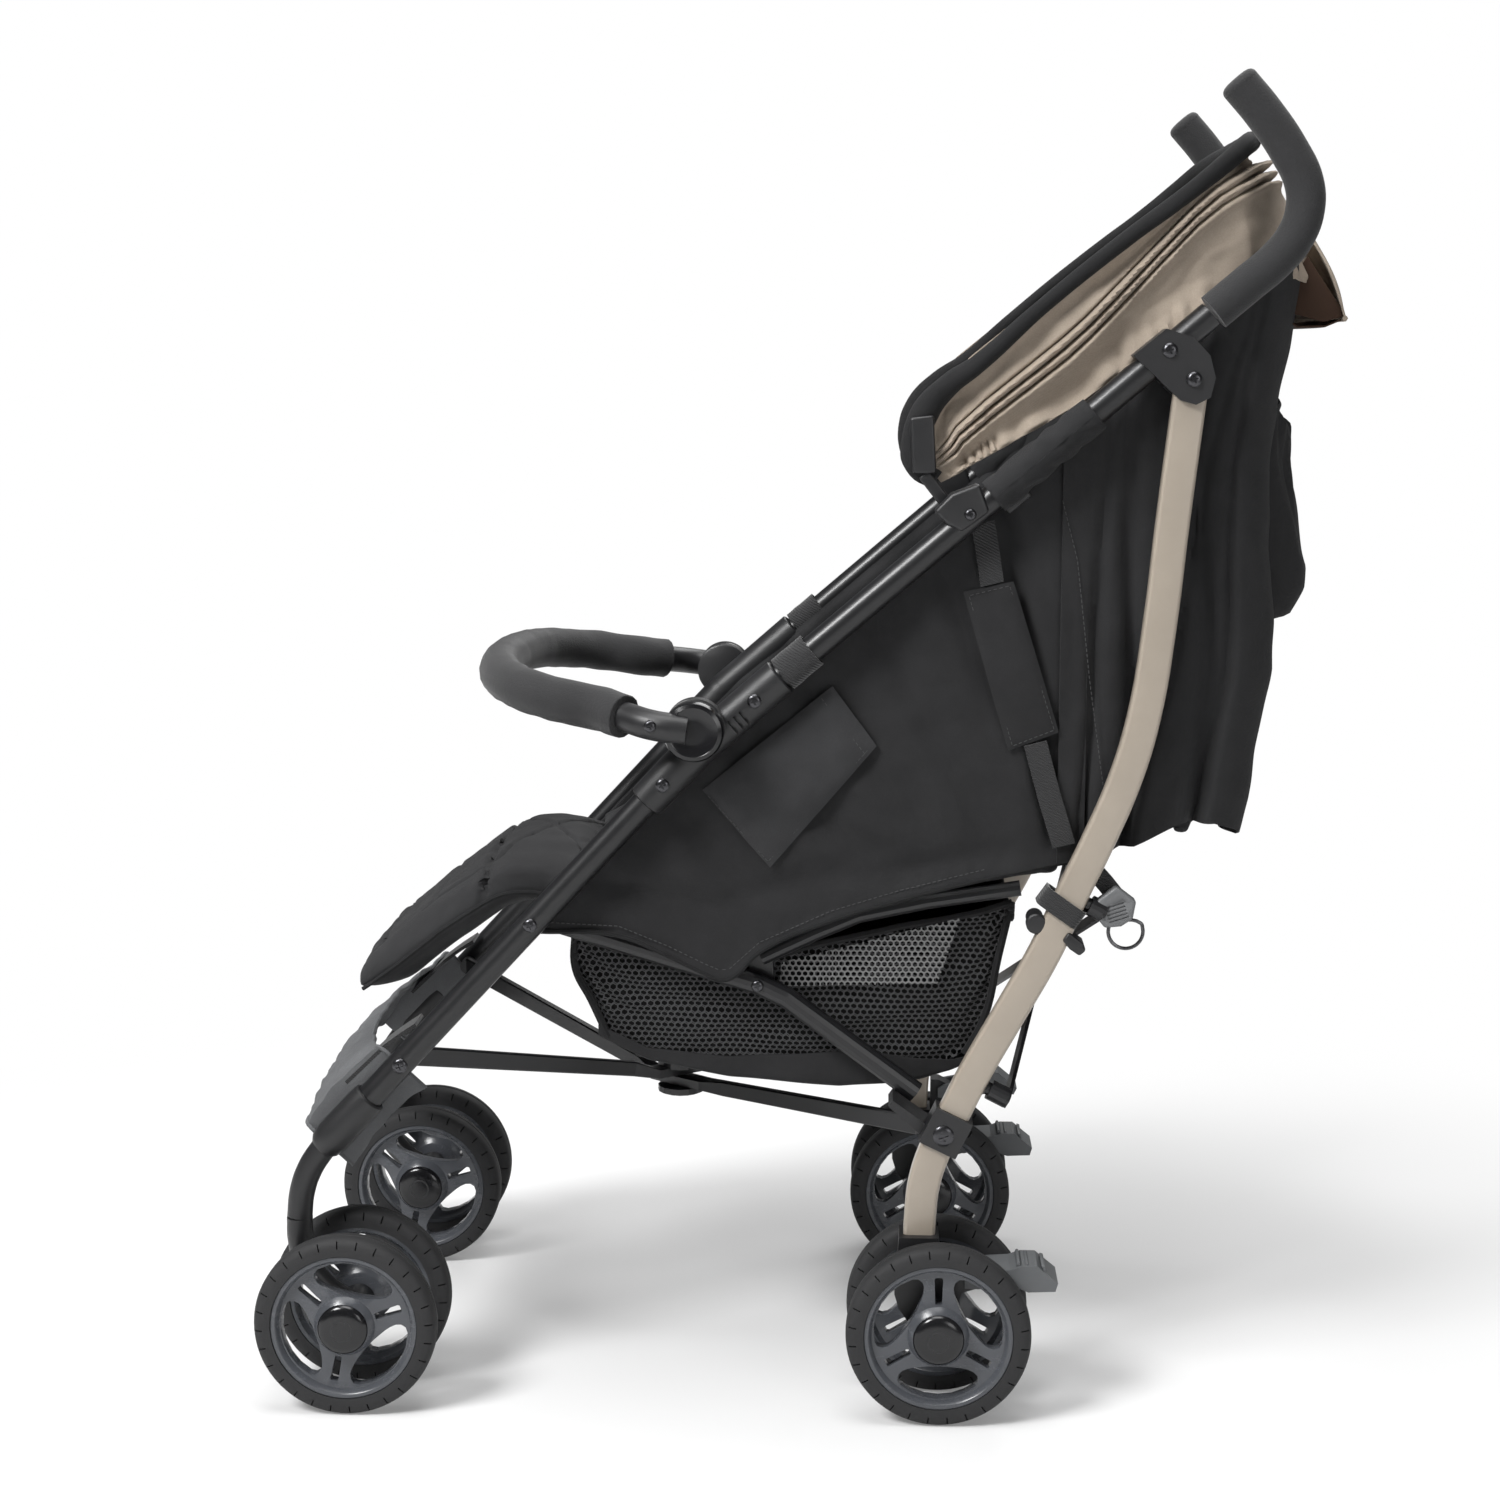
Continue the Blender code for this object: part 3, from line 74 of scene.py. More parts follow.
FRONT_TUBE = [
    (-0.366, 0.2215), (-0.099, 0.5108), (-0.08, 0.531), (-0.0639, 0.5475), (-0.045, 0.5645),
    (-0.02, 0.5863), (0.302, 0.861), (0.334, 0.8883),
]
GRIP = [
    (0.336, 0.89), (0.362, 0.912), (0.383, 0.93), (0.397, 0.948), (0.4035, 0.968),
    (0.402, 0.988), (0.39, 1.012), (0.37, 1.04), (0.3475, 1.066),
]
REAR_LEG = [
    (0.3195, 0.828), (0.308, 0.724), (0.3005, 0.649), (0.2895, 0.574), (0.275, 0.522),
    (0.2545, 0.472), (0.237, 0.434), (0.215, 0.384), (0.188, 0.334), (0.16, 0.283),
    (0.144, 0.25), (0.129, 0.219), (0.12, 0.19), (0.117, 0.161), (0.116, 0.12),
]
BUMPER = [
    (0.2175, -0.07, 0.5665), (0.2175, -0.096, 0.57), (0.2, -0.121, 0.5745),
    (0.183, -0.145, 0.579), (0.174, -0.175, 0.584), (0.156, -0.201, 0.5885),
    (0.13, -0.22, 0.592), (0.095, -0.233, 0.5945), (0.048, -0.24, 0.596),
    (0.0, -0.242, 0.5965),
]


class PushchairSizes(PropertyGroup):
    """Sizes that set the look of the pieces."""

    wheel_radius: FloatProperty(
        name="Wheel radius", description="Outer radius of each tyre", default=0.075, unit="LENGTH"
    )
    tyre_width: FloatProperty(
        name="Tyre width", description="Width of one tyre", default=0.025, unit="LENGTH"
    )
    grip_radius: FloatProperty(
        name="Grip radius", description="Outer radius of the foam handles", default=0.015, unit="LENGTH"
    )
    tube_radius: FloatProperty(
        name="Tube radius", description="Radius of the long front tubes", default=0.011, unit="LENGTH"
    )
    cloth_thickness: FloatProperty(
        name="Cloth thickness", description="Thickness of a sewn panel", default=0.0016, unit="LENGTH"
    )


class PushchairColours(PropertyGroup):
    """Colours of the paint, plastic and fabric."""

    tan_paint: FloatVectorProperty(
        name="Rear leg paint", description="Satin paint of the rear legs",
        default=(0.335, 0.29, 0.238), size=3, subtype="COLOR", min=0, max=1,
    )
    black_fabric: FloatVectorProperty(
        name="Seat fabric", description="Woven cloth of the seat",
        default=(0.023, 0.023, 0.024), size=3, subtype="COLOR", min=0, max=1,
    )
    canopy_fabric: FloatVectorProperty(
        name="Canopy fabric", description="Woven cloth of the canopy",
        default=(0.345, 0.29, 0.235), size=3, subtype="COLOR", min=0, max=1,
    )
    sling_fabric: FloatVectorProperty(
        name="Foot sling fabric", description="Woven cloth of the foot sling",
        default=(0.13, 0.133, 0.138), size=3, subtype="COLOR", min=0, max=1,
    )
    rim_plastic: FloatVectorProperty(
        name="Rim plastic", description="Moulded wheel rims",
        default=(0.066, 0.07, 0.079), size=3, subtype="COLOR", min=0, max=1,
    )


def at(x, point):
    """Place a side-view point (y, z) at a given x."""
    return Vector((x, point[0] + SHIFT_Y, point[1]))


def lerp_table(table, key, column):
    """Read a column of a table at a key, smoothly between its rows."""
    if key <= table[0][0]:
        return table[0][column]
    for low, high in zip(table[:-1], table[1:]):
        if key <= high[0]:
            t = (key - low[0]) / (high[0] - low[0])
            return low[column] + (high[column] - low[column]) * t
    return table[-1][column]


def smooth(low, high, value):
    """Ease from 0 to 1 between two values."""
    t = min(max((value - low) / (high - low), 0.0), 1.0)
    return t * t * (3 - 2 * t)


def ripple(point, scale, seed):
    """Soft repeatable unevenness, about -1 to 1."""
    return noise.noise(Vector(point) * scale + Vector((seed, seed * 1.7, -seed)))


# Shader maths


class Wire:
    """One output of a material's nodes, with the arithmetic that the finishes use."""

    def __init__(self, sheet, socket):
        self.sheet = sheet
        self.socket = socket

    def math(self, operation, *others, clamp=False):
        """One Math node."""
        return self.sheet.node(
            "ShaderNodeMath", {"operation": operation, "use_clamp": clamp},
            {i: v for i, v in enumerate((self, *others))},
        )

    def __add__(self, other):
        return self.math("ADD", other)

    __radd__ = __add__

    def __sub__(self, other):
        return self.math("SUBTRACT", other)

    def __rsub__(self, other):
        return self.sheet.node("ShaderNodeMath", {"operation": "SUBTRACT"}, {0: other, 1: self})

    def __mul__(self, other):
        return self.math("MULTIPLY", other)

    __rmul__ = __mul__

    def __gt__(self, other):
        return self.math("GREATER_THAN", other)

    def __lt__(self, other):
        return self.math("LESS_THAN", other)


class FinishSheet:
    """Node tree of one finish."""

    def __init__(self, name):
        self.material = bpy.data.materials.new(name)
        self.material.use_nodes = True
        self.tree = self.material.node_tree
        self.shader = self.tree.nodes["Principled BSDF"]

    def node(self, kind, settings=None, sockets=None, output=0):
        """Add a node, set it up and return one of its outputs."""
        made = self.tree.nodes.new(kind)
        for key, value in (settings or {}).items():
            if key == "stops":
                ramp = made.color_ramp
                while len(ramp.elements) < len(value):
                    ramp.elements.new(0.5)
                for element, (place, colour) in zip(ramp.elements, value):
                    element.position = place
                    element.color = colour
            else:
                setattr(made, key, value)
        for key, value in (sockets or {}).items():
            if isinstance(value, Wire):
                self.tree.links.new(value.socket, made.inputs[key])
            else:
                made.inputs[key].default_value = value
        return Wire(self, made.outputs[output])

    def place(self):
        """Object coordinates in metres."""
        return self.node("ShaderNodeTexCoord", output="Object")

    def axes(self):
        """Object coordinates split in x, y and z."""
        return self.split(self.place())

    def split(self, vector):
        """Three parts of a vector."""
        made = self.tree.nodes.new("ShaderNodeSeparateXYZ")
        self.tree.links.new(vector.socket, made.inputs[0])
        return [Wire(self, made.outputs[i]) for i in range(3)]

    def cloud(self, scale, detail, rough=0.55, stretch=None):
        """Noise around 0.5."""
        place = self.place()
        if stretch:
            place = self.node("ShaderNodeMapping", {}, {"Vector": place, "Scale": stretch})
        return self.node("ShaderNodeTexNoise", {}, {
            "Vector": place, "Scale": scale, "Detail": detail, "Roughness": rough,
        })

    def blend(self, factor, low, high):
        """Mix two colours."""
        low = low if isinstance(low, Wire) else (*low, 1.0)
        high = high if isinstance(high, Wire) else (*high, 1.0)
        made = self.tree.nodes.new("ShaderNodeMix")
        made.data_type = "RGBA"
        for index, value in ((0, factor), (6, low), (7, high)):
            if isinstance(value, Wire):
                self.tree.links.new(value.socket, made.inputs[index])
            else:
                made.inputs[index].default_value = value
        return Wire(self, made.outputs[2])

    def feed(self, name, value):
        """Connect or set one socket of the shader."""
        if isinstance(value, Wire):
            self.tree.links.new(value.socket, self.shader.inputs[name])
        elif isinstance(value, tuple) and len(value) == 3:
            self.shader.inputs[name].default_value = (*value, 1.0)
        else:
            self.shader.inputs[name].default_value = value

    def mottle(self, factor, colour, dark, light):
        """Base colour that varies between a darker and a lighter tint."""
        self.feed("Base Color", self.blend(factor, tint(colour, dark), tint(colour, light)))

    def relief(self, height, strength, distance):
        """Drive the surface normal with a height."""
        made = self.node("ShaderNodeBump", {}, {
            "Strength": strength, "Distance": distance, "Height": height,
        })
        self.feed("Normal", made)


def tint(colour, factor):
    """Scale a colour."""
    return tuple(min(c * factor, 1.0) for c in colour)


def woven_cloth(name, colour, crumple=1.0, sheen=0.04):
    """Plain-woven polyester with crumpling and uneven dye."""
    sheet = FinishSheet(name)
    x, y, z = sheet.axes()
    turn = 2 * math.pi / THREAD_PITCH
    warp = ((x + y) * turn).math("SINE")
    weft = ((z + y * 0.3) * turn).math("SINE")
    weave = warp * weft
    wide = sheet.cloud(9.0, 3.0)
    crumples = sheet.cloud(38.0, 6.0, 0.62)
    fuzz = sheet.cloud(900.0, 2.0)
    shade = wide * 0.35 + crumples * 0.35 + fuzz * 0.3 + weave * 0.05
    ramp = sheet.node("ShaderNodeValToRGB", {
        "stops": [(0.3, (*tint(colour, 0.74), 1)), (0.52, (*colour, 1)), (0.78, (*tint(colour, 1.3), 1))],
    }, {0: shade})
    sheet.feed("Base Color", ramp)
    sheet.feed("Roughness", 0.8 + 0.12 * fuzz)
    sheet.feed("Sheen Weight", sheen)
    sheet.feed("Sheen Roughness", 0.45)
    sheet.feed("Specular IOR Level", 0.2)
    height = weave * 0.1 + crumples * (1.3 * crumple) + wide * (1.2 * crumple) + fuzz * 0.12
    sheet.relief(height, 0.42, 0.0035)
    return sheet.material


def satin_paint(name, colour, rough, coat):
    """Powder-coated tube with faint orange peel and rubbed patches."""
    sheet = FinishSheet(name)
    peel = sheet.cloud(420.0, 2.0)
    patches = sheet.cloud(24.0, 5.0, 0.6)
    sheet.mottle(patches, colour, 0.9, 1.1)
    sheet.feed("Roughness", patches * 0.14 + (rough - 0.05))
    sheet.feed("Coat Weight", coat)
    sheet.feed("Coat Roughness", 0.12)
    sheet.relief(peel, 0.1, 0.0004)
    return sheet.material


def moulded_plastic(name, colour, rough, grain=1.0):
    """Injection-moulded plastic with a fine spark texture and scuffs."""
    sheet = FinishSheet(name)
    spark = sheet.cloud(1400.0, 3.0, 0.7)
    scuff = sheet.cloud(60.0, 6.0, 0.7, (1.0, 0.35, 1.0))
    sheet.mottle(scuff, colour, 0.82, 1.22)
    sheet.feed("Roughness", scuff * 0.2 + spark * 0.08 + (rough - 0.12))
    sheet.relief(spark + scuff * 0.5, 0.16 * grain, 0.0005)
    return sheet.material


def foam_skin(name, colour):
    """Closed-cell foam with pores."""
    sheet = FinishSheet(name)
    pores = sheet.node("ShaderNodeTexVoronoi", {}, {"Vector": sheet.place(), "Scale": 700.0})
    soft = sheet.cloud(45.0, 5.0)
    sheet.mottle(soft, colour, 0.78, 1.28)
    sheet.feed("Roughness", 0.82 + soft * 0.12)
    sheet.feed("Sheen Weight", 0.15)
    sheet.relief(pores + soft * 1.5, 0.35, 0.0008)
    return sheet.material


def tyre_rubber(name):
    """Dusty rubber with moulding lines."""
    sheet = FinishSheet(name)
    dust = sheet.cloud(55.0, 6.0, 0.65)
    fine = sheet.cloud(800.0, 3.0)
    sheet.feed("Base Color", sheet.blend(dust, (0.011, 0.011, 0.012), (0.024, 0.024, 0.025)))
    sheet.feed("Roughness", 0.62 + dust * 0.25)
    sheet.relief(fine + dust * 0.6, 0.22, 0.0006)
    return sheet.material


def steel(name, colour, rough):
    """Plated steel of screws and rings."""
    sheet = FinishSheet(name)
    brushed = sheet.cloud(500.0, 4.0, 0.6, (1.0, 0.1, 1.0))
    sheet.mottle(brushed, colour, 0.8, 1.15)
    sheet.feed("Metallic", 1.0)
    sheet.feed("Roughness", brushed * 0.2 + (rough - 0.1))
    sheet.relief(brushed, 0.1, 0.0003)
    return sheet.material


def webbing(name, colour):
    """Narrow ribbed strap."""
    sheet = FinishSheet(name)
    _, y, z = sheet.axes()
    ribs = ((z + y * 0.5) * (2 * math.pi / 0.0024)).math("SINE")
    fuzz = sheet.cloud(900.0, 2.0)
    sheet.mottle(ribs * 0.25 + fuzz, colour, 0.7, 1.4)
    sheet.feed("Roughness", 0.78 + fuzz * 0.15)
    sheet.feed("Sheen Weight", 0.3)
    sheet.relief(ribs + fuzz * 0.5, 0.5, 0.0007)
    return sheet.material


def open_mesh(name, colour, pitch, thread):
    """Knitted net with hexagonal openings, in the piece's own flat map."""
    sheet = FinishSheet(name)
    flat = sheet.node("ShaderNodeUVMap", {"uv_map": "UVMap"})
    u, v, _ = sheet.split(flat)
    u = u * (1.0 / pitch)
    v = v * (1.0 / (pitch * 1.732))
    nearest = None
    for shift in (0.0, 0.5):
        du = ((u + shift).math("FRACT") - 0.5).math("ABSOLUTE")
        dv = (((v + shift).math("FRACT") - 0.5) * 1.732).math("ABSOLUTE")
        reach = du.math("MAXIMUM", du * 0.5 + dv * 0.866)
        nearest = reach if nearest is None else nearest.math("MINIMUM", reach)
    fuzz = sheet.cloud(1200.0, 2.0)
    sheet.mottle(fuzz, colour, 0.7, 1.3)
    sheet.feed("Roughness", 0.7 + fuzz * 0.2)
    sheet.feed("Alpha", nearest > 0.5 - thread)
    sheet.relief(nearest, 0.4, 0.0006)
    return sheet.material


FINISH = {}


def make_finishes(colours):
    """Make every material once."""
    black = tuple(colours.black_fabric)
    FINISH.update({
        "tan_paint": satin_paint("tan_paint_satin", tuple(colours.tan_paint), 0.34, 0.35),
        "black_paint": satin_paint("black_paint_gloss", (0.006, 0.006, 0.007), 0.36, 0.1),
        "black_plastic": moulded_plastic("black_plastic_moulded", (0.012, 0.012, 0.013), 0.4),
        "rim_plastic": moulded_plastic("rim_plastic_gloss", tuple(colours.rim_plastic), 0.24, 0.4),
        "cap_plastic": moulded_plastic("cap_plastic_gloss", (0.006, 0.006, 0.007), 0.18, 0.2),
        "tyre_rubber": tyre_rubber("tyre_rubber_matt"),
        "grip_foam": foam_skin("grip_foam_black", (0.016, 0.016, 0.017)),
        "pedal_plastic": moulded_plastic("pedal_plastic_grey", (0.105, 0.11, 0.115), 0.45),
        "black_fabric": woven_cloth("seat_cloth_black", black),
        "pad_fabric": woven_cloth("pad_cloth_black", tint(black, 1.25), crumple=0.7),
        "hem_fabric": woven_cloth("hem_cloth_black", tint(black, 0.7), crumple=0.4),
        "tan_fabric": woven_cloth("canopy_cloth_tan", tuple(colours.canopy_fabric), crumple=0.5),
        # Dark brown on the curled underside of the rear flap and at its ends: painted shade of the tan
        # canopy cloth.
        "canopy_underside_shade": woven_cloth("canopy_underside_painted_shade", (0.04, 0.022, 0.014), crumple=0.6),
        "grey_fabric": woven_cloth("sling_cloth_grey", tuple(colours.sling_fabric), crumple=0.6),
        # Side pocket cloth, a different cloth from the seat's; its tone, 1.7 times the seat cloth's, is
        # painted sheen.
        "pocket_fabric_painted_sheen": woven_cloth("pocket_cloth_black_painted_sheen", tint(black, 1.7), crumple=0.5),
        "thread": moulded_plastic("sewing_thread", (0.045, 0.045, 0.046), 0.75),
        "buckle_plastic": moulded_plastic("buckle_plastic_grey", (0.125, 0.128, 0.132), 0.42),
        "ring_steel": steel("ring_steel_dark", (0.1, 0.1, 0.105), 0.3),
        "dark_steel": steel("dark_steel_screws", (0.075, 0.075, 0.08), 0.3),
        "webbing": webbing("webbing_black", (0.014, 0.014, 0.015)),
        "net": open_mesh("basket_net_black", (0.052, 0.052, 0.054), 0.0056, 0.075),
        # Near-black sheet without sheen just inside the basket net: painted shade of the basket's inside.
        "basket_painted_shade": woven_cloth("basket_shade_black", (0.006, 0.006, 0.006), crumple=0.5, sheen=0.0),
        "pale_net": open_mesh("basket_net_grey", (0.19, 0.19, 0.19), 0.005, 0.12),
    })


# Modelling helpers


def deselect():
    """Leave nothing selected."""
    if bpy.context.object and bpy.context.object.mode != "OBJECT":
        bpy.ops.object.mode_set(mode="OBJECT")
    bpy.ops.object.select_all(action="DESELECT")


def activate(obj):
    """Select one piece alone."""
    deselect()
    obj.select_set(True)
    bpy.context.view_layer.objects.active = obj


def settle(obj):
    """Put a piece's place into its mesh."""
    activate(obj)
    bpy.ops.object.transform_apply(location=True, rotation=True, scale=True)
    return obj


def modify(obj, kind, **settings):
    """Add one modifier and apply it."""
    activate(obj)
    modifier = obj.modifiers.new(kind.lower(), kind)
    for key, value in settings.items():
        setattr(modifier, key, value)
    bpy.ops.object.modifier_apply(modifier=modifier.name)
    return obj


def outward(obj):
    """Merge doubles and turn the faces outwards."""
    activate(obj)
    bpy.ops.object.mode_set(mode="EDIT")
    bpy.ops.mesh.select_all(action="SELECT")
    bpy.ops.mesh.remove_doubles(threshold=0.00002)
    bpy.ops.mesh.normals_make_consistent(inside=False)
    bpy.ops.object.mode_set(mode="OBJECT")
    return obj


def shade(obj, angle):
    """Smooth shading with sharp edges kept."""
    activate(obj)
    bpy.ops.object.shade_smooth_by_angle(angle=math.radians(angle))
    return obj


def dress(obj, name, finish, body, slot, stands_for=()):
    """Name, finish and mount one piece."""
    obj.name = name
    obj.data.name = name
    obj.data.materials.clear()
    obj.data.materials.append(FINISH[finish])
    if body:
        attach(obj, body)
    if stands_for:
        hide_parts(*stands_for)
    return obj


def bar(name, points, radius, sides=20, profile=None, radii=None):
    """Round bar along a path, one radius or one for each point, or a bar with its own flat profile."""
    deselect()
    bpy.ops.curve.primitive_bezier_curve_add()
    obj = bpy.context.object
    curve = obj.data
    curve.dimensions = "3D"
    curve.splines.clear()
    spline = curve.splines.new("BEZIER")
    spline.bezier_points.add(len(points) - 1)
    for knot, point in zip(spline.bezier_points, points):
        knot.co = point
        knot.handle_left_type = knot.handle_right_type = "AUTO"
    for knot, value in zip(spline.bezier_points, radii or ()):
        knot.radius = value / radius
    curve.resolution_u = 6
    curve.twist_mode = "Z_UP" if profile else "MINIMUM"
    if profile:
        curve.bevel_mode = "OBJECT"
        curve.bevel_object = profile
    else:
        curve.bevel_depth = radius
        curve.bevel_resolution = max(sides // 4 - 1, 1)
    curve.use_fill_caps = True
    bpy.context.view_layer.update()
    activate(obj)
    bpy.ops.object.convert(target="MESH")
    obj = bpy.context.object
    obj.name = name
    return shade(outward(settle(obj)), 40)


def lay(obj, width, held, *rests_on, share, parts=()):
    """Work out a sheet's length, which is not kept. Its cut fills a share of its flat rectangle, and its
    sewn area gives the length.
    """
    area = sum(face.area for face in obj.data.polygons) / 2
    area / (width * share)


def lay_both(pair, width, held, stem, share, parts=()):
    """Run lay for a left and a right sheet that hang from a left and a right node."""
    for index, (side, _) in enumerate(SIDES):
        lay(pair[index], width, held, f"{stem}_{side}", parts=[p[index] for p in parts], share=share)


def rounded(obj, width, segments, angle=35.0):
    """Round a moulding's sharp edges."""
    modify(obj, "BEVEL", width=width, segments=segments, limit_method="ANGLE",
           angle_limit=math.radians(angle), use_clamp_overlap=True)
    return shade(obj, 40)


def joined(name, *objects):
    """Join pieces into one object without cutting them."""
    deselect()
    for obj in objects:
        obj.select_set(True)
    bpy.context.view_layer.objects.active = objects[0]
    bpy.ops.object.join()
    objects[0].name = name
    return objects[0]


def locate(spans, share):
    """Span that holds a share of a path's length, and how far along that span it is."""
    want = share * spans[-1]
    k = min(max(i for i, s in enumerate(spans) if s <= want + 1e-9), len(spans) - 2)
    return k, (want - spans[k]) / (spans[k + 1] - spans[k])


def strap(name, line, width, across, thickness):
    """Flat webbing along a line of points, as wide as given along a direction."""
    across = Vector(across).normalized()
    spans = [0.0]
    for a, b in zip(line[:-1], line[1:]):
        spans.append(spans[-1] + (b - a).length)

    def place(u, v):
        k, t = locate(spans, v)
        return line[k].lerp(line[k + 1], t) + across * ((u - 0.5) * width)

    return cloth(name, 6, max(len(line) * 4, 12), place, thickness)


def turned(name, centre, axis, steps, sides):
    """Piece turned on a lathe: steps are (distance along the axis, radius)."""
    deselect()
    direction = Vector(axis).normalized()
    start = Vector(centre) + direction * steps[0][0]
    turn = direction.to_track_quat("Z", "Y")
    bpy.ops.mesh.primitive_circle_add(
        vertices=sides, radius=steps[0][1], fill_type="NGON", location=start, rotation=turn.to_euler()
    )
    obj = bpy.context.object
    obj.name = name
    bpy.ops.object.mode_set(mode="EDIT")
    bpy.ops.mesh.select_all(action="SELECT")
    place, radius = steps[0]
    for along, wide in steps[1:]:
        bpy.ops.mesh.extrude_region_move(
            TRANSFORM_OT_translate={"value": direction * (along - place)}
        )
        ratio = wide / radius
        bpy.ops.transform.resize(
            value=(ratio, ratio, ratio), center_override=Vector(centre) + direction * along
        )
        place, radius = along, wide
    bpy.ops.object.mode_set(mode="OBJECT")
    return shade(outward(settle(obj)), 35)


def turned_between(name, start, end, steps, sides):
    """Piece turned about the line between two side-view points of the left front tube."""
    return turned(name, at(SIDE_X, start), at(0, end) - at(0, start), steps, sides)


def oblong(long, wide):
    """Corners of a box around the origin, by its half length and half width."""
    return [(-long, -wide), (long, -wide), (long, wide), (-long, wide)]


def slanted(centre, along, across, corners):
    """Side-view outline of corners that lie along two directions."""
    return [(p.y, p.z) for p in (centre + along * a + across * b for a, b in corners)]


def slab(name, outline, low, high):
    """Flat piece cut to an outline of (y, z) points and given a width in x."""
    deselect()
    bpy.ops.mesh.primitive_circle_add(vertices=len(outline), radius=1.0, fill_type="NGON")
    obj = bpy.context.object
    obj.name = name
    for vertex, point in zip(obj.data.vertices, outline):
        vertex.co = at(low, point)
    bpy.ops.object.mode_set(mode="EDIT")
    bpy.ops.mesh.select_all(action="SELECT")
    bpy.ops.mesh.extrude_region_move(TRANSFORM_OT_translate={"value": (high - low, 0, 0)})
    bpy.ops.object.mode_set(mode="OBJECT")
    return outward(obj)


def grid(name, columns, rows, place):
    """Sheet whose points are placed by a function of (u, v), both 0 to 1."""
    deselect()
    bpy.ops.mesh.primitive_grid_add(x_subdivisions=columns, y_subdivisions=rows, size=2.0)
    obj = bpy.context.object
    obj.name = name
    for vertex in obj.data.vertices:
        u, v = (vertex.co.x + 1) / 2, (vertex.co.y + 1) / 2
        vertex.co = place(u, v)
    return obj


def cloth(name, columns, rows, place, thickness, offset=0.0):
    """Sewn panel with a real thickness."""
    obj = grid(name, columns, rows, place)
    modify(obj, "SOLIDIFY", thickness=thickness, offset=offset)
    return shade(obj, 60)


def boolean(target, other):
    """Cut with another piece, which is used up."""
    modify(target, "BOOLEAN", operation="DIFFERENCE", solver="EXACT", object=other)
    bpy.data.objects.remove(other, do_unlink=True)
    return target


def copy_of(source, name, matrix):
    """Copy a piece with its own mesh."""
    made = source.copy()
    made.data = source.data.copy()
    made.name = name
    bpy.context.scene.collection.objects.link(made)
    made.data.transform(matrix)
    if matrix.determinant() < 0:
        made.data.flip_normals()
    return made


MIRROR = Matrix.Scale(-1.0, 4, Vector((1, 0, 0)))


def both_sides(left, stem, finish, body, slot=None, nodes=()):
    """Dress a left piece and its mirrored right piece."""
    right = copy_of(left, stem + "_right", MIRROR)
    for obj, (side, _) in zip((left, right), SIDES):
        stands = tuple(f"{n}_{side}" for n in nodes)
        place = body.format(side=side) if body else None
        dress(obj, f"{stem}_{side}", finish, place, slot, stands)
    return left, right


def rivet(stem, x, point, radius, body):
    """Domed screw head on the outside of a side, with a cross recess."""
    head = turned(stem, at(x, point), (1, 0, 0), [
        (-0.0015, radius), (SCREW_HEIGHT * 0.3, radius), (SCREW_HEIGHT * 0.7, radius * 0.86),
        (SCREW_HEIGHT * 0.92, radius * 0.6), (SCREW_HEIGHT, radius * 0.3),
    ], 28)
    for turn in (0, 90):
        arm = slab("arm", oblong(0.5 * radius, 0.09 * radius), 0, 0.01)
        arm.data.transform(
            Matrix.Translation(at(x + SCREW_HEIGHT * 0.55, point))
            @ Matrix.Rotation(math.radians(turn + 20), 4, "X") @ Matrix.Translation((0, -SHIFT_Y, 0))
        )
        boolean(head, arm)
    return both_sides(shade(head, 50), stem, "dark_steel", body)


# Pieces


def make_tubes(sizes):
    """Front tubes, grips and rear legs with smooth round bends."""
    tube = bar("front_tube_skin", [at(SIDE_X, p) for p in FRONT_TUBE], sizes.tube_radius, 28)
    both_sides(tube, "front_tube_skin", "black_paint", "frame", "black_paint", ("front_tube",))
    r = sizes.grip_radius
    last, end = at(SIDE_X, GRIP[-2]), at(SIDE_X, GRIP[-1])
    toward = (end - last).normalized()
    short = end - toward * 0.006
    grip = bar("grip_skin", [at(SIDE_X, p) for p in GRIP[:-1]] + [short], r, 32)
    dome = turned("dome", short, toward, [
        (-0.001, r), (0.0008, r * 0.995), (0.0022, r * 0.96), (0.0036, r * 0.89), (0.0048, r * 0.76),
        (0.0055, r * 0.55), (0.0058, r * 0.25),
    ], 32)
    grips = both_sides(shade(joined("grip_skin", grip, dome), 60), "grip_skin", "grip_foam", "frame",
                       "grip_foam", ("grip",))
    bpy.ops.mesh.primitive_plane_add(size=1.0)
    plane = bpy.context.object
    plane.scale = (0.016, 0.026, 1.0)
    settle(plane)
    bpy.ops.object.mode_set(mode="EDIT")
    bpy.ops.mesh.select_all(action="SELECT")
    bpy.ops.mesh.bevel(offset=0.0034, segments=4, affect="VERTICES")
    bpy.ops.mesh.delete(type="ONLY_FACE")
    bpy.ops.object.mode_set(mode="OBJECT")
    bpy.ops.object.convert(target="CURVE")
    profile = bpy.context.object
    leg = bar("rear_leg_skin", [at(SIDE_X, p) for p in REAR_LEG], 0, profile=profile)
    bpy.data.objects.remove(profile, do_unlink=True)
    both_sides(leg, "rear_leg_skin", "tan_paint", "rear_frame", "tan_paint", ("rear_leg",))


def local_slab(name, outline, low, high):
    """Slab in the wheel's own place, around the origin."""
    return slab(name, [(y - SHIFT_Y, z) for y, z in outline], low, high)


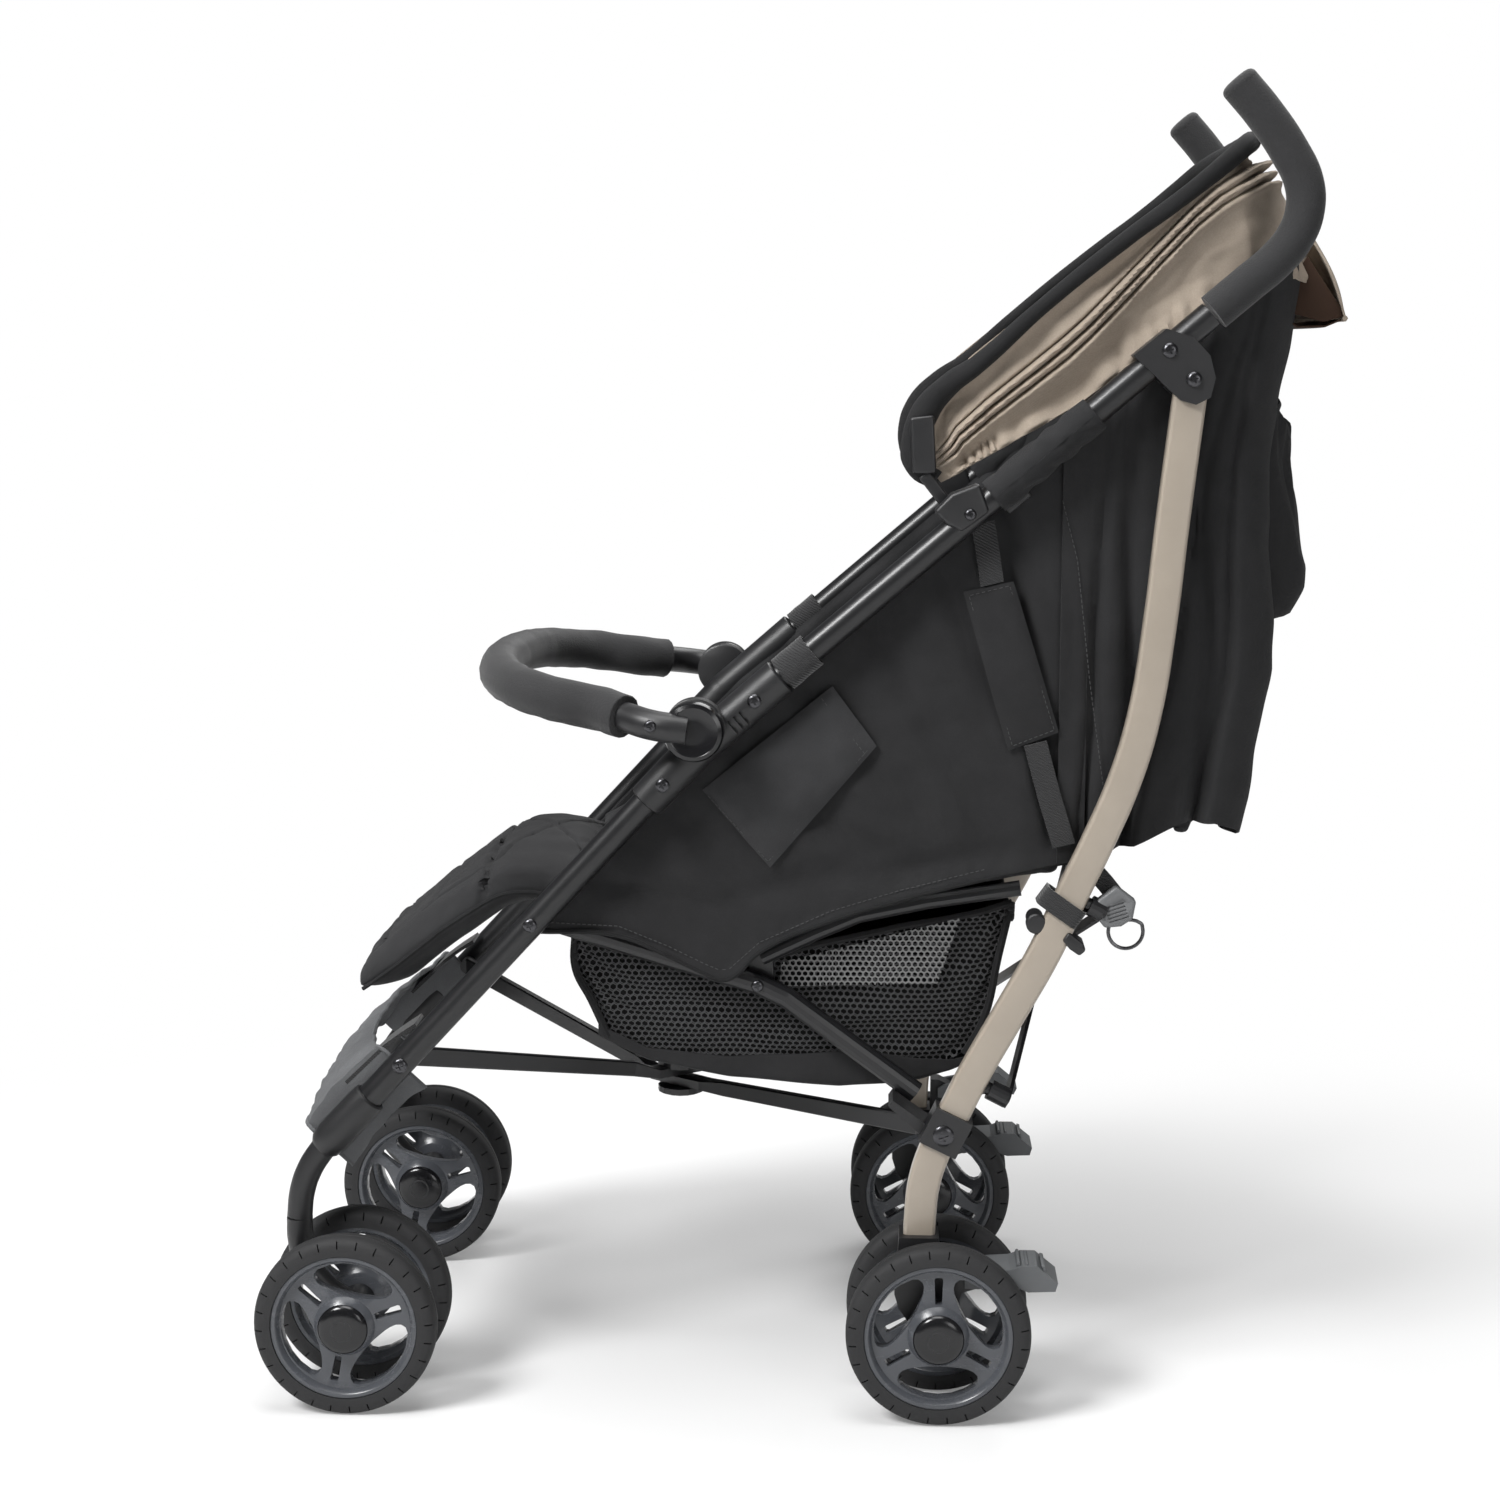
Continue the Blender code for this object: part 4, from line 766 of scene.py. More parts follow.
def make_wheels(sizes):
    """Twin wheels: slotted spokes, deep rim, domed cap and a tyre with shoulder slits."""
    outer = sizes.wheel_radius
    half = sizes.tyre_width / 2
    bore = outer - TYRE_HEIGHT
    tyre = turned("tyre", (0, 0, 0), (1, 0, 0), [
        (-half, bore), (-half - 0.0003, bore + 0.004), (-half + 0.0004, outer - 0.0056),
        (-half + 0.0016, outer - 0.003), (-half + 0.004, outer - 0.001), (-0.005, outer - 0.0001),
        (-0.0009, outer), (-0.0005, outer - 0.0007), (0.0005, outer - 0.0007), (0.0009, outer),
        (0.005, outer - 0.0001), (half - 0.004, outer - 0.001), (half - 0.0016, outer - 0.003),
        (half - 0.0004, outer - 0.0056), (half + 0.0003, bore + 0.004), (half, bore),
    ], 112)
    rim_r = bore - RIM_GAP
    boolean(tyre, turned("hole", (0, 0, 0), (1, 0, 0), [(-0.05, rim_r), (0.05, rim_r)], 112))
    slits = []
    for k in range(56):
        side = 1 if k % 2 else -1
        deselect()
        bpy.ops.mesh.primitive_cube_add(size=1.0, location=(side * (half - 0.0014), 0, outer - 0.0052))
        slit = bpy.context.object
        slit.scale = (0.005, 0.0011, 0.0062)
        settle(slit)
        slit.data.transform(Matrix.Rotation(math.tau * k / 56, 4, "X"))
        slits.append(slit)
    boolean(tyre, joined("slits", *slits))
    shade(tyre, 32)

    rim = turned("rim", (0, 0, 0), (1, 0, 0), [
        (-0.0112, rim_r), (0.0108, rim_r), (0.0114, rim_r - 0.0008), (0.0114, rim_r - 0.0036),
        (0.0106, rim_r - 0.0046), (0.0058, rim_r - 0.0066), (0.0046, 0.047), (0.005, 0.033), (0.0066, 0.025),
        (0.0104, 0.0218), (0.0118, 0.02),
    ], 96)
    back = turned("back", (0, 0, 0), (1, 0, 0), [
        (-0.02, rim_r - 0.0034), (-0.0104, rim_r - 0.0036), (-0.0056, rim_r - 0.0066),
        (-0.004, 0.047), (-0.0044, 0.033), (-0.0062, 0.025), (-0.01, 0.021), (-0.0112, 0.019),
    ], 96)
    boolean(rim, back)
    edge = [(36, 0.0518), (41, 0.05), (43.5, 0.0462), (43.5, 0.0418), (40.5, 0.0372), (35, 0.033),
            (27, 0.0294), (16, 0.0264)]
    for k in range(3):
        spoke = 90 + 120 * k
        polar = [(-36, 0.0518), (-24, 0.0526), (-12, 0.053), (0, 0.0531), (12, 0.053), (24, 0.0526)]
        polar += edge + [(0, 0.0252)] + [(-a, r) for a, r in reversed(edge[1:])]
        bean = []
        for angle, radius in polar:
            turn = math.radians(spoke + 60 + angle)
            bean.append((radius * math.cos(turn), radius * math.sin(turn)))
        boolean(rim, local_slab("bean", bean, -0.03, 0.03))
        along = Vector((0, math.cos(math.radians(spoke)), math.sin(math.radians(spoke))))
        across = Vector((0, -along.z, along.y))
        slot = slanted(Vector(), along, across, (
            (0.0265, -0.0022), (0.0278, -0.0028), (0.047, -0.0034), (0.0486, -0.0026),
            (0.0486, 0.0026), (0.047, 0.0034), (0.0278, 0.0028), (0.0265, 0.0022),
        ))
        boolean(rim, local_slab("slot", slot, -0.03, 0.03))
    rounded(rim, 0.0011, 3, 40)

    cap = turned("cap", (0, 0, 0), (1, 0, 0), [
        (0.0134, 0.0205), (0.015, 0.0207), (0.0166, 0.0198), (0.018, 0.018), (0.019, 0.015),
        (0.0196, 0.011), (0.0199, 0.006), (0.02, 0.002),
    ], 56)
    shade(cap, 60)
    for end, point, turn in (("front", FRONT_AXLE, 48.0), ("rear", REAR_AXLE, 0.0)):
        for side, sign in SIDES:
            for place, offset in (("outer", TWIN_OFFSET), ("inner", -TWIN_OFFSET)):
                stem = f"{end}_{side}_{place}"
                centre = at(sign * (SIDE_X + offset), point)
                flip = Matrix.Identity(4) if sign * offset > 0 else MIRROR
                matrix = Matrix.Translation(centre) @ flip @ Matrix.Rotation(math.radians(turn), 4, "X")
                for source, kind, finish in ((tyre, "tyre", "tyre_rubber"), (rim, "rim", "rim_plastic")):
                    dress(copy_of(source, kind, matrix), f"{kind}_skin_{stem}", finish, f"wheel_{stem}",
                          finish, (f"{kind}_{stem}",))
                holder = f"caster_{side}" if end == "front" else "rear_frame"
                dress(copy_of(cap, "cap", matrix), "hub_cap_" + stem, "cap_plastic", holder, "black_plastic")
    for obj in (tyre, rim, cap):
        bpy.data.objects.remove(obj, do_unlink=True)


def make_mouldings():
    """Finish the CAD pieces that are shown, round their edges and add screws."""
    finishes = {
        "side_link": "black_paint", "seat_rail": "black_paint", "bottom_bar": "black_paint",
        "rear_bar": "black_paint", "brake_pedal": "pedal_plastic", "fold_pedal": "pedal_plastic",
    }
    edged = ("top_bracket", "leg_bracket", "rear_housing", "brake_pedal", "fold_pedal", "bottom_bar",
             "rear_bar")
    for name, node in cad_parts.items():
        finish = "black_plastic"
        for stem, value in finishes.items():
            if name.startswith(stem):
                finish = value
        node.data.materials.clear()
        node.data.materials.append(FINISH[finish])
        if name.startswith(edged):
            bevel = node.modifiers.new("edge", "BEVEL")
            bevel.width = 0.0011
            bevel.segments = 3
            bevel.limit_method = "ANGLE"
            bevel.angle_limit = math.radians(38)
            bevel.harden_normals = False
    for stem, x, point, radius, body in (
        ("screw_bracket_tube", SIDE_X + 0.0132, (0.302, 0.861), 0.0058, "frame"),
        ("screw_bracket_leg", SIDE_X + 0.0144, TOP_PIVOT, 0.0058, "frame"),
        ("screw_low", SIDE_X + 0.0106, (-0.307, 0.285), 0.0062, "frame"),
        ("screw_link", SIDE_X + 0.0106, (-0.199, 0.403), 0.0056, "frame"),
        ("screw_collar_low", SIDE_X + 0.015, (-0.091, 0.519), 0.0056, "frame"),
        ("screw_collar_high", SIDE_X + 0.015, (-0.018, 0.587), 0.0056, "frame"),
        ("screw_canopy", 0.1948, (0.1505, 0.7345), 0.0046, "frame"),
        ("screw_leg_low", SIDE_X + 0.012, (0.135, 0.233), 0.0085, "rear_frame"),
    ):
        rivet(stem, x, point, radius, body)
    rivet("screw_rail", 0.1636, (-0.017, 0.348), 0.005, "side_link_{side}")
    for index in range(4):
        back = 0.0068 * index
        rib = slab("rib", [
            (0.195 + back, 0.1262), (0.1962 + back, 0.1292 - 0.001 * index),
            (0.1982 + back, 0.1292 - 0.0012 * index), (0.1994 + back, 0.124 - 0.002 * index),
        ], SIDE_X - 0.0165, SIDE_X + 0.0165)
        both_sides(rounded(rib, 0.0005, 2), f"pedal_rib_{index}", "pedal_plastic", "brake_{side}",
                   "pedal_plastic")
    clip = slab("clip", oblong(0.011, 0.0045), 0, 0.006)
    rounded(clip, 0.0012, 3)
    for index, point in enumerate(((0.1875, 0.7445), (0.2225, 0.7802))):
        place = Matrix.Translation(at(SIDE_X - 0.013, point)) @ Matrix.Rotation(math.radians(40.5), 4, "X")
        tab = copy_of(clip, "tab", place @ Matrix.Translation((0, -SHIFT_Y, 0)))
        both_sides(tab, f"snap_clip_{index}", "black_plastic", "frame")
    bpy.data.objects.remove(clip, do_unlink=True)


def make_feet():
    """Boots, curved legs and swivel stems of the front wheels."""
    boot = turned_between("boot", (-0.334, 0.2562), (-0.3725, 0.2145), [
        (0.0, 0.0125), (0.0012, 0.0142), (0.01, 0.0148), (0.046, 0.015), (0.056, 0.0136), (0.06, 0.0108),
    ], 40)
    leg = bar("leg", [at(SIDE_X, p) for p in (
        (-0.366, 0.221), (-0.376, 0.209), (-0.386, 0.193), (-0.3925, 0.174), (-0.395, 0.1534),
    )], 0.0106, 28)
    foot = joined("front_foot_skin", boot, leg)
    both_sides(foot, "front_foot_skin", "black_plastic", "frame", "black_plastic", ("front_foot",))
    stem = bar("stem", [at(SIDE_X, p) for p in (
        (-0.395, 0.1526), (-0.3948, 0.134), (-0.39, 0.113), (-0.376, 0.093), (-0.356, 0.079),
    )], 0.0108, 28)
    for vertex in stem.data.vertices:
        vertex.co.x = SIDE_X + (vertex.co.x - SIDE_X) * (1.0 - 0.12 * smooth(0.13, 0.09, vertex.co.z))
    boss = turned("boss", at(SIDE_X - 0.0225, FRONT_AXLE), (1, 0, 0), [
        (0.0, 0.0112), (0.0012, 0.0128), (0.0438, 0.0128), (0.045, 0.0112),
    ], 36)
    caster = joined("caster_skin", stem, boss)
    both_sides(caster, "caster_skin", "black_plastic", "caster_{side}", "black_plastic", ("caster",))


def make_collars():
    """Collar that carries the bumper's knuckle, with moulded slots beside it."""
    sleeve = turned_between("sleeve", (-0.106, 0.5032), (-0.0639, 0.5475), [
        (0.0, 0.013), (0.0012, 0.015), (0.03, 0.0155), (0.064, 0.0155),
    ], 36)
    upper = turned_between("upper", (-0.0639, 0.5475), (0.003, 0.6058), [
        (-0.006, 0.0155), (0.087, 0.0155), (0.0882, 0.014), (0.0886, 0.012),
    ], 36)
    for index in range(3):
        centre = Vector((0, -0.033 + 0.0044 * index, 0.564 + 0.0038 * index))
        outline = slanted(centre, Vector((0, 0.61, -0.79)), Vector((0, 0.79, 0.61)), oblong(0.009, 0.0011))
        boolean(upper, slab("cut", outline, SIDE_X + 0.0085, SIDE_X + 0.03))
    boss = turned("boss", at(SIDE_X + 0.004, KNUCKLE), (1, 0, 0), [
        (0.0, 0.0225), (0.001, 0.024), (0.015, 0.0242), (0.0158, 0.023),
    ], 48)
    both_sides(joined("tube_collar_skin", sleeve, upper, boss), "tube_collar_skin", "black_plastic", "frame",
               "black_plastic", ("tube_collar",))


def crease(y, z, y0, z0, angle, width, depth, length):
    """Depth of one soft straight fold through a point of the side view."""
    turn = math.radians(angle)
    dy, dz = y - y0, z - z0
    away = -dy * math.sin(turn) + dz * math.cos(turn)
    along = dy * math.cos(turn) + dz * math.sin(turn)
    return depth * math.exp(-((away / width) ** 2) - ((along / length) ** 2))


SIDE_CREASES = (
    # y, z, angle, width, depth, length
    (0.05, 0.56, -50, 0.014, 0.006, 0.09), (0.02, 0.52, -44, 0.017, 0.0052, 0.1),
    (-0.06, 0.47, -52, 0.015, 0.005, 0.08), (0.1, 0.6, -62, 0.012, 0.005, 0.1),
    (0.13, 0.52, -70, 0.015, -0.004, 0.08), (0.0, 0.43, 18, 0.012, 0.0045, 0.09),
    (0.12, 0.45, 12, 0.01, 0.0045, 0.07), (-0.12, 0.43, -14, 0.011, 0.0048, 0.06),
    (0.192, 0.64, -78, 0.009, 0.009, 0.13), (0.206, 0.56, -80, 0.007, 0.008, 0.1),
    (0.18, 0.73, -64, 0.008, 0.007, 0.05), (0.06, 0.47, -30, 0.011, 0.0045, 0.06),
    (-0.03, 0.54, -46, 0.01, 0.004, 0.05), (0.15, 0.64, -66, 0.01, 0.005, 0.07),
)


def make_bumper():
    """Foam-covered bumper bar with its round knuckles."""
    half = [Vector((x, y + SHIFT_Y, z)) for x, y, z in BUMPER]
    foam_path = half[2:] + [Vector((-p.x, p.y, p.z)) for p in reversed(half[2:-1])]
    foam = bar("bumper_foam", foam_path, 0.018, 32)
    for vertex in foam.data.vertices:
        dent = 0.0009 * ripple(vertex.co, 60.0, 3)
        vertex.co.z += dent
        vertex.co.y += dent
    modify(foam, "BEVEL", width=0.005, segments=4, limit_method="ANGLE", angle_limit=math.radians(50))
    dress(shade(foam, 60), "bumper_foam_skin", "grip_foam", "bumper", "grip_foam", ("bumper_bar",))
    arm = bar("bumper_arm", half[:4], 0.012, 24)
    both_sides(arm, "bumper_arm", "black_plastic", "bumper", "black_plastic")
    knuckle = turned("bumper_knuckle", at(SIDE_X + 0.0203, KNUCKLE), (1, 0, 0), [
        (0.0, 0.0225), (0.002, 0.0238), (0.015, 0.024), (0.0182, 0.0226), (0.0196, 0.0196),
        (0.019, 0.0186), (0.0192, 0.009),
    ], 64)
    both_sides(knuckle, "bumper_knuckle", "cap_plastic", "bumper", "black_plastic")
    rivet("screw_bumper", 0.229, (-0.098, 0.571), 0.0048, "bumper")


SIDE_EDGE = [
    # y, hem height, top height
    (-0.208, 0.3905, 0.393), (-0.199, 0.393, 0.402), (-0.13, 0.39, 0.477),
    (-0.09, 0.374, 0.519), (-0.06, 0.3595, 0.55), (-0.048, 0.3545, 0.561),
    (-0.04, 0.355, 0.568), (-0.015, 0.3778, 0.589), (0.042, 0.404, 0.638),
    (0.098, 0.4218, 0.686), (0.167, 0.44, 0.745), (0.223, 0.4521, 0.792), (0.246, 0.456, 0.812),
]
PANEL_FRONT = SIDE_EDGE[0][0]
PANEL_REAR = SIDE_EDGE[-1][0]


BACK_BOTTOM = [
    # share of the way from the middle to the front hem, height of the bottom edge
    (0.0, 0.4672), (0.42, 0.47), (0.6, 0.485), (0.7, 0.485), (0.8, 0.4662), (0.93, 0.4559),
    (1.0, 0.4525),
]


def side_point(u, v):
    """Point on the left side panel."""
    y = PANEL_FRONT + (PANEL_REAR - PANEL_FRONT) * u
    hem = lerp_table(SIDE_EDGE, y, 1)
    top = lerp_table(SIDE_EDGE, y, 2)
    z = hem + (top - hem) * v
    depth = sum(crease(y, z, *fold) for fold in SIDE_CREASES)
    depth += 0.0022 + ripple((y * 2.0, z, 0), 11.0, 5) * 0.003 + ripple((y, z * 1.6, 0), 30.0, 9) * 0.0011
    depth += 0.0008 * math.sin(y * 310 + 3 * math.sin(y * 47)) * smooth(0.1, 0.0, v)
    edge = smooth(0, 0.05, v) * smooth(0, 0.04, 1 - v)
    x = 0.1692 - max(depth, 0.0) * edge - 0.004 * smooth(0.19, 0.24, y)
    return at(x, (y, z))


BACK_PROFILE = [
    # height, rearmost y of the outer back
    (0.444, 0.36), (0.462, 0.365), (0.473, 0.371), (0.5, 0.377), (0.534, 0.382),
    (0.561, 0.386), (0.606, 0.393), (0.645, 0.393), (0.7, 0.39), (0.769, 0.389),
    (0.82, 0.394), (0.87, 0.401), (0.92, 0.409),
]


# Shares of the back's half width where its flat middle and its rounded corner end, and its heights.
BACK_FLAT, BACK_CORNER = 0.42, 0.66
BACK_LOW, BACK_TOP = 0.464, 0.936
BACK_HALF, BACK_DEPTH = 0.118, 0.038


def back_point(u, v):
    """Point on the outer back, from the left side round to the right side."""
    s = (u - 0.5) * 2
    side = abs(s)
    sign = 1 if s > 0 else -1
    corner = smooth(BACK_FLAT, BACK_CORNER, side)
    flat_z = BACK_LOW + (BACK_TOP - BACK_LOW) * v
    back_y = lerp_table(BACK_PROFILE, flat_z, 1)
    if side < BACK_FLAT:
        x, y = side / BACK_FLAT * BACK_HALF, back_y
    elif side < BACK_CORNER:
        t = (side - BACK_FLAT) / 0.24
        angle = t * math.pi / 2
        x = BACK_HALF + 0.044 * math.sin(angle)
        y = back_y - BACK_DEPTH * (1 - math.cos(angle))
    else:
        t = (side - BACK_CORNER) / 0.34
        x = 0.162 + 0.0055 * t
        y = back_y - BACK_DEPTH + (0.224 - back_y + BACK_DEPTH) * t
    bottom = lerp_table(BACK_BOTTOM, side, 1)
    top_line = 0.861 + (y - 0.302) * 0.857 - 0.006
    top = BACK_TOP + (min(top_line, BACK_TOP) - BACK_TOP) * smooth(0.62, 0.74, side)
    z = bottom + (top - bottom) * v
    y_here = lerp_table(BACK_PROFILE, z, 1)
    y += (y_here - back_y) * (1 - smooth(0.6, 0.95, side))
    low = smooth(0.95, 0.25, v)
    pleat = 0.0
    for centre, width, depth, lean in (
        (0.64, 0.018, 0.0085, 0.05), (0.71, 0.022, 0.011, -0.09), (0.785, 0.016, 0.008, 0.1),
        (0.85, 0.02, 0.0115, -0.05), (0.925, 0.013, 0.009, 0.03), (0.74, 0.012, 0.006, 0.22),
    ):
        pleat += depth * math.exp(-((side - centre + lean * (v - 0.5)) / width) ** 2)
    rough = ripple((x * sign, y, z * 0.6), 14.0, 11) * 0.0045
    rough += ripple((x * sign, y, z * 0.8), 34.0, 4) * 0.0018
    x -= (pleat * (0.45 + 0.55 * low) + abs(rough)) * corner * smooth(0, 0.03, 1 - side)
    y += (rough + 0.004 * math.sin(s * 16 + 2 * v)) * (1 - corner) - pleat * 0.4 * (1 - corner)
    return Vector((x * sign, y + SHIFT_Y, z))


def pocket_point(u, v):
    """Point on the bulging rear pocket, gathered along its elastic top."""
    table = [
        (0.0, 0.3945, 0.644), (0.06, 0.418, 0.648), (0.16, 0.428, 0.669), (0.26, 0.43, 0.687),
        (0.45, 0.421, 0.723), (0.75, 0.409, 0.775), (0.92, 0.407, 0.805), (1.0, 0.399, 0.818),
    ]
    y, z = lerp_table(table, v, 1), lerp_table(table, v, 2)
    s = (u - 0.5) * 2
    wall = lerp_table(BACK_PROFILE, z, 1)
    fall = 1 - abs(s) ** 8
    y = wall + 0.001 + (y - wall) * fall
    gather = 0.0045 * math.sin(s * 27 + 2.2 * math.sin(v * 4)) + 0.002 * math.sin(s * 61)
    gather *= smooth(0.2, 1.0, v)
    y += (ripple((s, z * 8, 0), 2.6, 2) * 0.006 + gather) * fall * smooth(1.0, 0.9, v)
    return Vector((s * 0.116, y + SHIFT_Y, z + 0.004 * math.sin(s * 7) * v))


def quad_point(corners, x, bulge):
    """Function that places a patch with four side-view corners and a swell outwards."""
    low_a, low_b, high_b, high_a = (Vector((0, *c)) for c in corners)

    def place(u, v):
        point = low_a.lerp(low_b, u).lerp(high_a.lerp(high_b, u), v)
        swell = bulge * (1 - abs(2 * u - 1) ** 4) * (1 - abs(2 * v - 1) ** 4)
        swell += ripple((point.y, point.z, 3), 45.0, 2) * bulge * 0.35
        return at(x + swell, (point.y, point.z))

    return place


def stitches(name, line, x):
    """Row of sewing stitches along a side-view line, left and right."""
    pieces = []
    deselect()
    bpy.ops.mesh.primitive_cube_add(size=1.0)
    stitch = bpy.context.object
    stitch.scale = (0.0006, 0.0026, 0.0006)
    settle(stitch)
    points = [Vector((0, *p)) for p in line]
    for a, b in zip(points[:-1], points[1:]):
        count = max(int((b - a).length / STITCH_PITCH), 1)
        turn = math.atan2((b - a).z, (b - a).y)
        for k in range(count):
            centre = a.lerp(b, (k + 0.5) / count)
            matrix = Matrix.Translation(at(x, (centre.y, centre.z))) @ Matrix.Rotation(turn, 4, "X")
            pieces.append(copy_of(stitch, "stitch", matrix))
    bpy.data.objects.remove(stitch, do_unlink=True)
    return both_sides(joined(name, *pieces), name, "thread", "frame")


def make_seat(sizes):
    """Side panels, back, pockets, seat pad, straps and sleeves."""
    thick = sizes.cloth_thickness
    panel = cloth("side_panel", 150, 90, side_point, thick)
    panels = both_sides(panel, "side_panel", "black_fabric", "frame", "black_fabric")
    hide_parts("seat_fabric")
    hem_line = [(y, hem + 0.003) for y, hem, _ in SIDE_EDGE[1:]]
    hem = bar("side_hem", [
        at(0.169 - 0.004 * smooth(0.19, 0.24, y), (y, z - 0.003)) for y, z in hem_line
    ], 0.0021, 10)
    hems = both_sides(hem, "side_hem", "hem_fabric", "frame", "black_fabric")
    seams = stitches("side_hem_seam", [(y, z + 0.005) for y, z in hem_line[:-2]], 0.169)
    lay_both(panels, 0.4, "hung", "front_tube", parts=(hems, seams), share=0.55)
    back = cloth("back_shell", 190, 100, back_point, thick)
    dress(back, "back_shell", "black_fabric", None, "black_fabric", ("back_panel",))
    at(0, (0.235, 0.6))
    at(0, (0.33, 0.6))
    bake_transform(back)
    front_seam = stitches("back_front_seam", [
        (0.2235, 0.745), (0.2362, 0.697), (0.2475, 0.602), (0.2612, 0.508),
    ], 0.1688)
    lay(back, 0.72, "hung", "front_tube_left", "front_tube_right", parts=front_seam, share=0.9)
    pocket = cloth("rear_pocket", 90, 60, pocket_point, thick)
    dress(pocket, "rear_pocket", "black_fabric", "back_rest", "black_fabric")
    trim = bar("pocket_trim", [
        pocket_point(k / 60, 1.0) + Vector((0, 0.0005, 0)) for k in range(61)
    ], 0.0036, 12)
    dress(trim, "rear_pocket_trim", "hem_fabric", "back_rest", "black_fabric")
    lay(pocket, 0.29, "gathered", back, parts=[trim], share=0.98)

    def seat_point(u, v):
        s = (u - 0.5) * 2
        y = -0.178 + 0.408 * v
        z = 0.43 + 0.017 * smooth(0, 0.1, v) + 0.01 * smooth(0.8, 1.0, v) - 0.008 * (1 - s * s)
        quilt = 0.0035 * abs(math.sin(y * 62 + abs(s) * 2.0)) ** 0.5 * (1 - abs(s) ** 8)
        return Vector((s * 0.16, y + SHIFT_Y, z + quilt))

    seat = cloth("seat_pad", 60, 90, seat_point, 0.011, -1.0)
    plump(seat)
    dress(seat, "seat_pad", "pad_fabric", "frame", "black_fabric")

    def rest_point(u, v):
        s = (u - 0.5) * 2
        z = 0.47 + 0.43 * v
        y = lerp_table([(0.47, 0.34), (0.5, 0.351), (0.56, 0.359), (0.65, 0.364), (0.78, 0.364),
                        (0.86, 0.373), (0.9, 0.382)], z, 1)
        half = 0.142 - 0.03 * smooth(0.8, 0.9, z)
        quilt = 0.004 * abs(math.sin(z * 52)) ** 0.5 * (1 - abs(s) ** 8)
        y -= quilt + 0.014 * smooth(0.62, 1.0, abs(s))
        return Vector((s * half, y + SHIFT_Y, z))

    rest = cloth("back_pad", 60, 100, rest_point, 0.012, 1.0)
    plump(rest)
    dress(rest, "back_pad", "pad_fabric", "back_rest", "black_fabric")

    # Side pockets, in the cloth whose lighter tone is painted sheen.
    patch = cloth("side_pocket", 50, 50, quad_point(
        ((-0.0611, 0.511), (-0.0065, 0.448), (0.0788, 0.548), (0.0432, 0.596)), 0.17, 0.0055), 0.001)
    pockets = both_sides(patch, "side_pocket", "pocket_fabric_painted_sheen", "frame", "black_fabric")
    low = stitches("side_pocket_seam", [(-0.057, 0.507), (-0.008, 0.453), (0.072, 0.545)], 0.1712)
    top = stitches("side_pocket_top_seam", [(0.034, 0.587), (0.07, 0.541)], 0.173)
    lay_both(pockets, 0.14, "hung", "side_panel", parts=(low, top), share=0.9)
    pouch = cloth("strap_pouch", 24, 60, quad_point(
        ((0.1838, 0.5451), (0.2237, 0.5601), (0.1859, 0.6804), (0.1466, 0.6719)), 0.1706, 0.0035), 0.0012)
    pouches = both_sides(pouch, "strap_pouch", "black_fabric", "frame", "black_fabric")
    seam = stitches("strap_pouch_seam", [
        (0.151, 0.669), (0.187, 0.549), (0.22, 0.562), (0.183, 0.677), (0.151, 0.669),
    ], 0.1722)
    lay_both(pouches, 0.045, "hung", "side_panel", parts=(seam,), share=0.95)
    for stem, line in (
        ("upper", [(0.1614, 0.7265), (0.1655, 0.703), (0.1693, 0.6782)]),
        ("lower", [(0.2052, 0.5512), (0.217, 0.508), (0.2295, 0.4684)]),
    ):
        web = strap("web", [at(0.1716, p) for p in line], 0.0185, (0, 1, 0.25), 0.0014)
        both_sides(web, f"recline_strap_{stem}", "webbing", "frame")
    make_sleeves()


FILL_CAP = 0.005
FILL_FRAMES = 20
FILL_PRESSURE = 4.0


def plump(obj, voxel=0.005):
    """Blow a padded piece up with a short cloth simulation, moved no further than the cap."""
    modify(obj, "REMESH", mode="VOXEL", voxel_size=voxel)
    rest = [vertex.co.copy() for vertex in obj.data.vertices]
    activate(obj)
    cushion = obj.modifiers.new("fill", "CLOTH")
    cushion.settings.quality = 5
    cushion.settings.mass = 0.3
    cushion.settings.tension_stiffness = 15
    cushion.settings.compression_stiffness = 15
    cushion.settings.bending_stiffness = 0.5
    cushion.settings.use_pressure = True
    cushion.settings.uniform_pressure_force = FILL_PRESSURE
    cushion.settings.effector_weights.gravity = 0.0
    cushion.point_cache.frame_start = 1
    cushion.point_cache.frame_end = FILL_FRAMES
    scene = bpy.context.scene
    for number in range(1, FILL_FRAMES + 1):
        scene.frame_set(number)
    bpy.ops.object.modifier_apply(modifier=cushion.name)
    scene.frame_set(1)
    for vertex, before in zip(obj.data.vertices, rest):
        moved = vertex.co - before
        if moved.length > FILL_CAP:
            vertex.co = before + moved.normalized() * FILL_CAP
    modify(obj, "SUBSURF", levels=1, render_levels=1)
    return shade(obj, 70)


def wrinkled(name, start, end, radius, seed, folds, bump, columns=48, rows=90):
    """Ruched cloth tube around the left front tube between two side-view points."""
    start = at(SIDE_X, start)
    axis = at(SIDE_X, end) - start
    direction = axis.normalized()
    side = Vector((1, 0, 0))
    up = direction.cross(side).normalized()

    def place(u, v):
        turn = u * math.tau
        ring = side * math.cos(turn) + up * math.sin(turn)
        drift = 3 * ripple((v * 3, turn, seed), 1.0, seed)
        wave = math.sin(v * folds * 3.1 + 2.0 * math.sin(turn + seed) + drift)
        swell = radius + bump * wave * math.sin(v * math.pi) ** 0.3 + 0.0012 * math.sin(turn * 2 + seed)
        return start + axis * v + ring * swell

    return outward(cloth(name, columns, rows, place, 0.001))


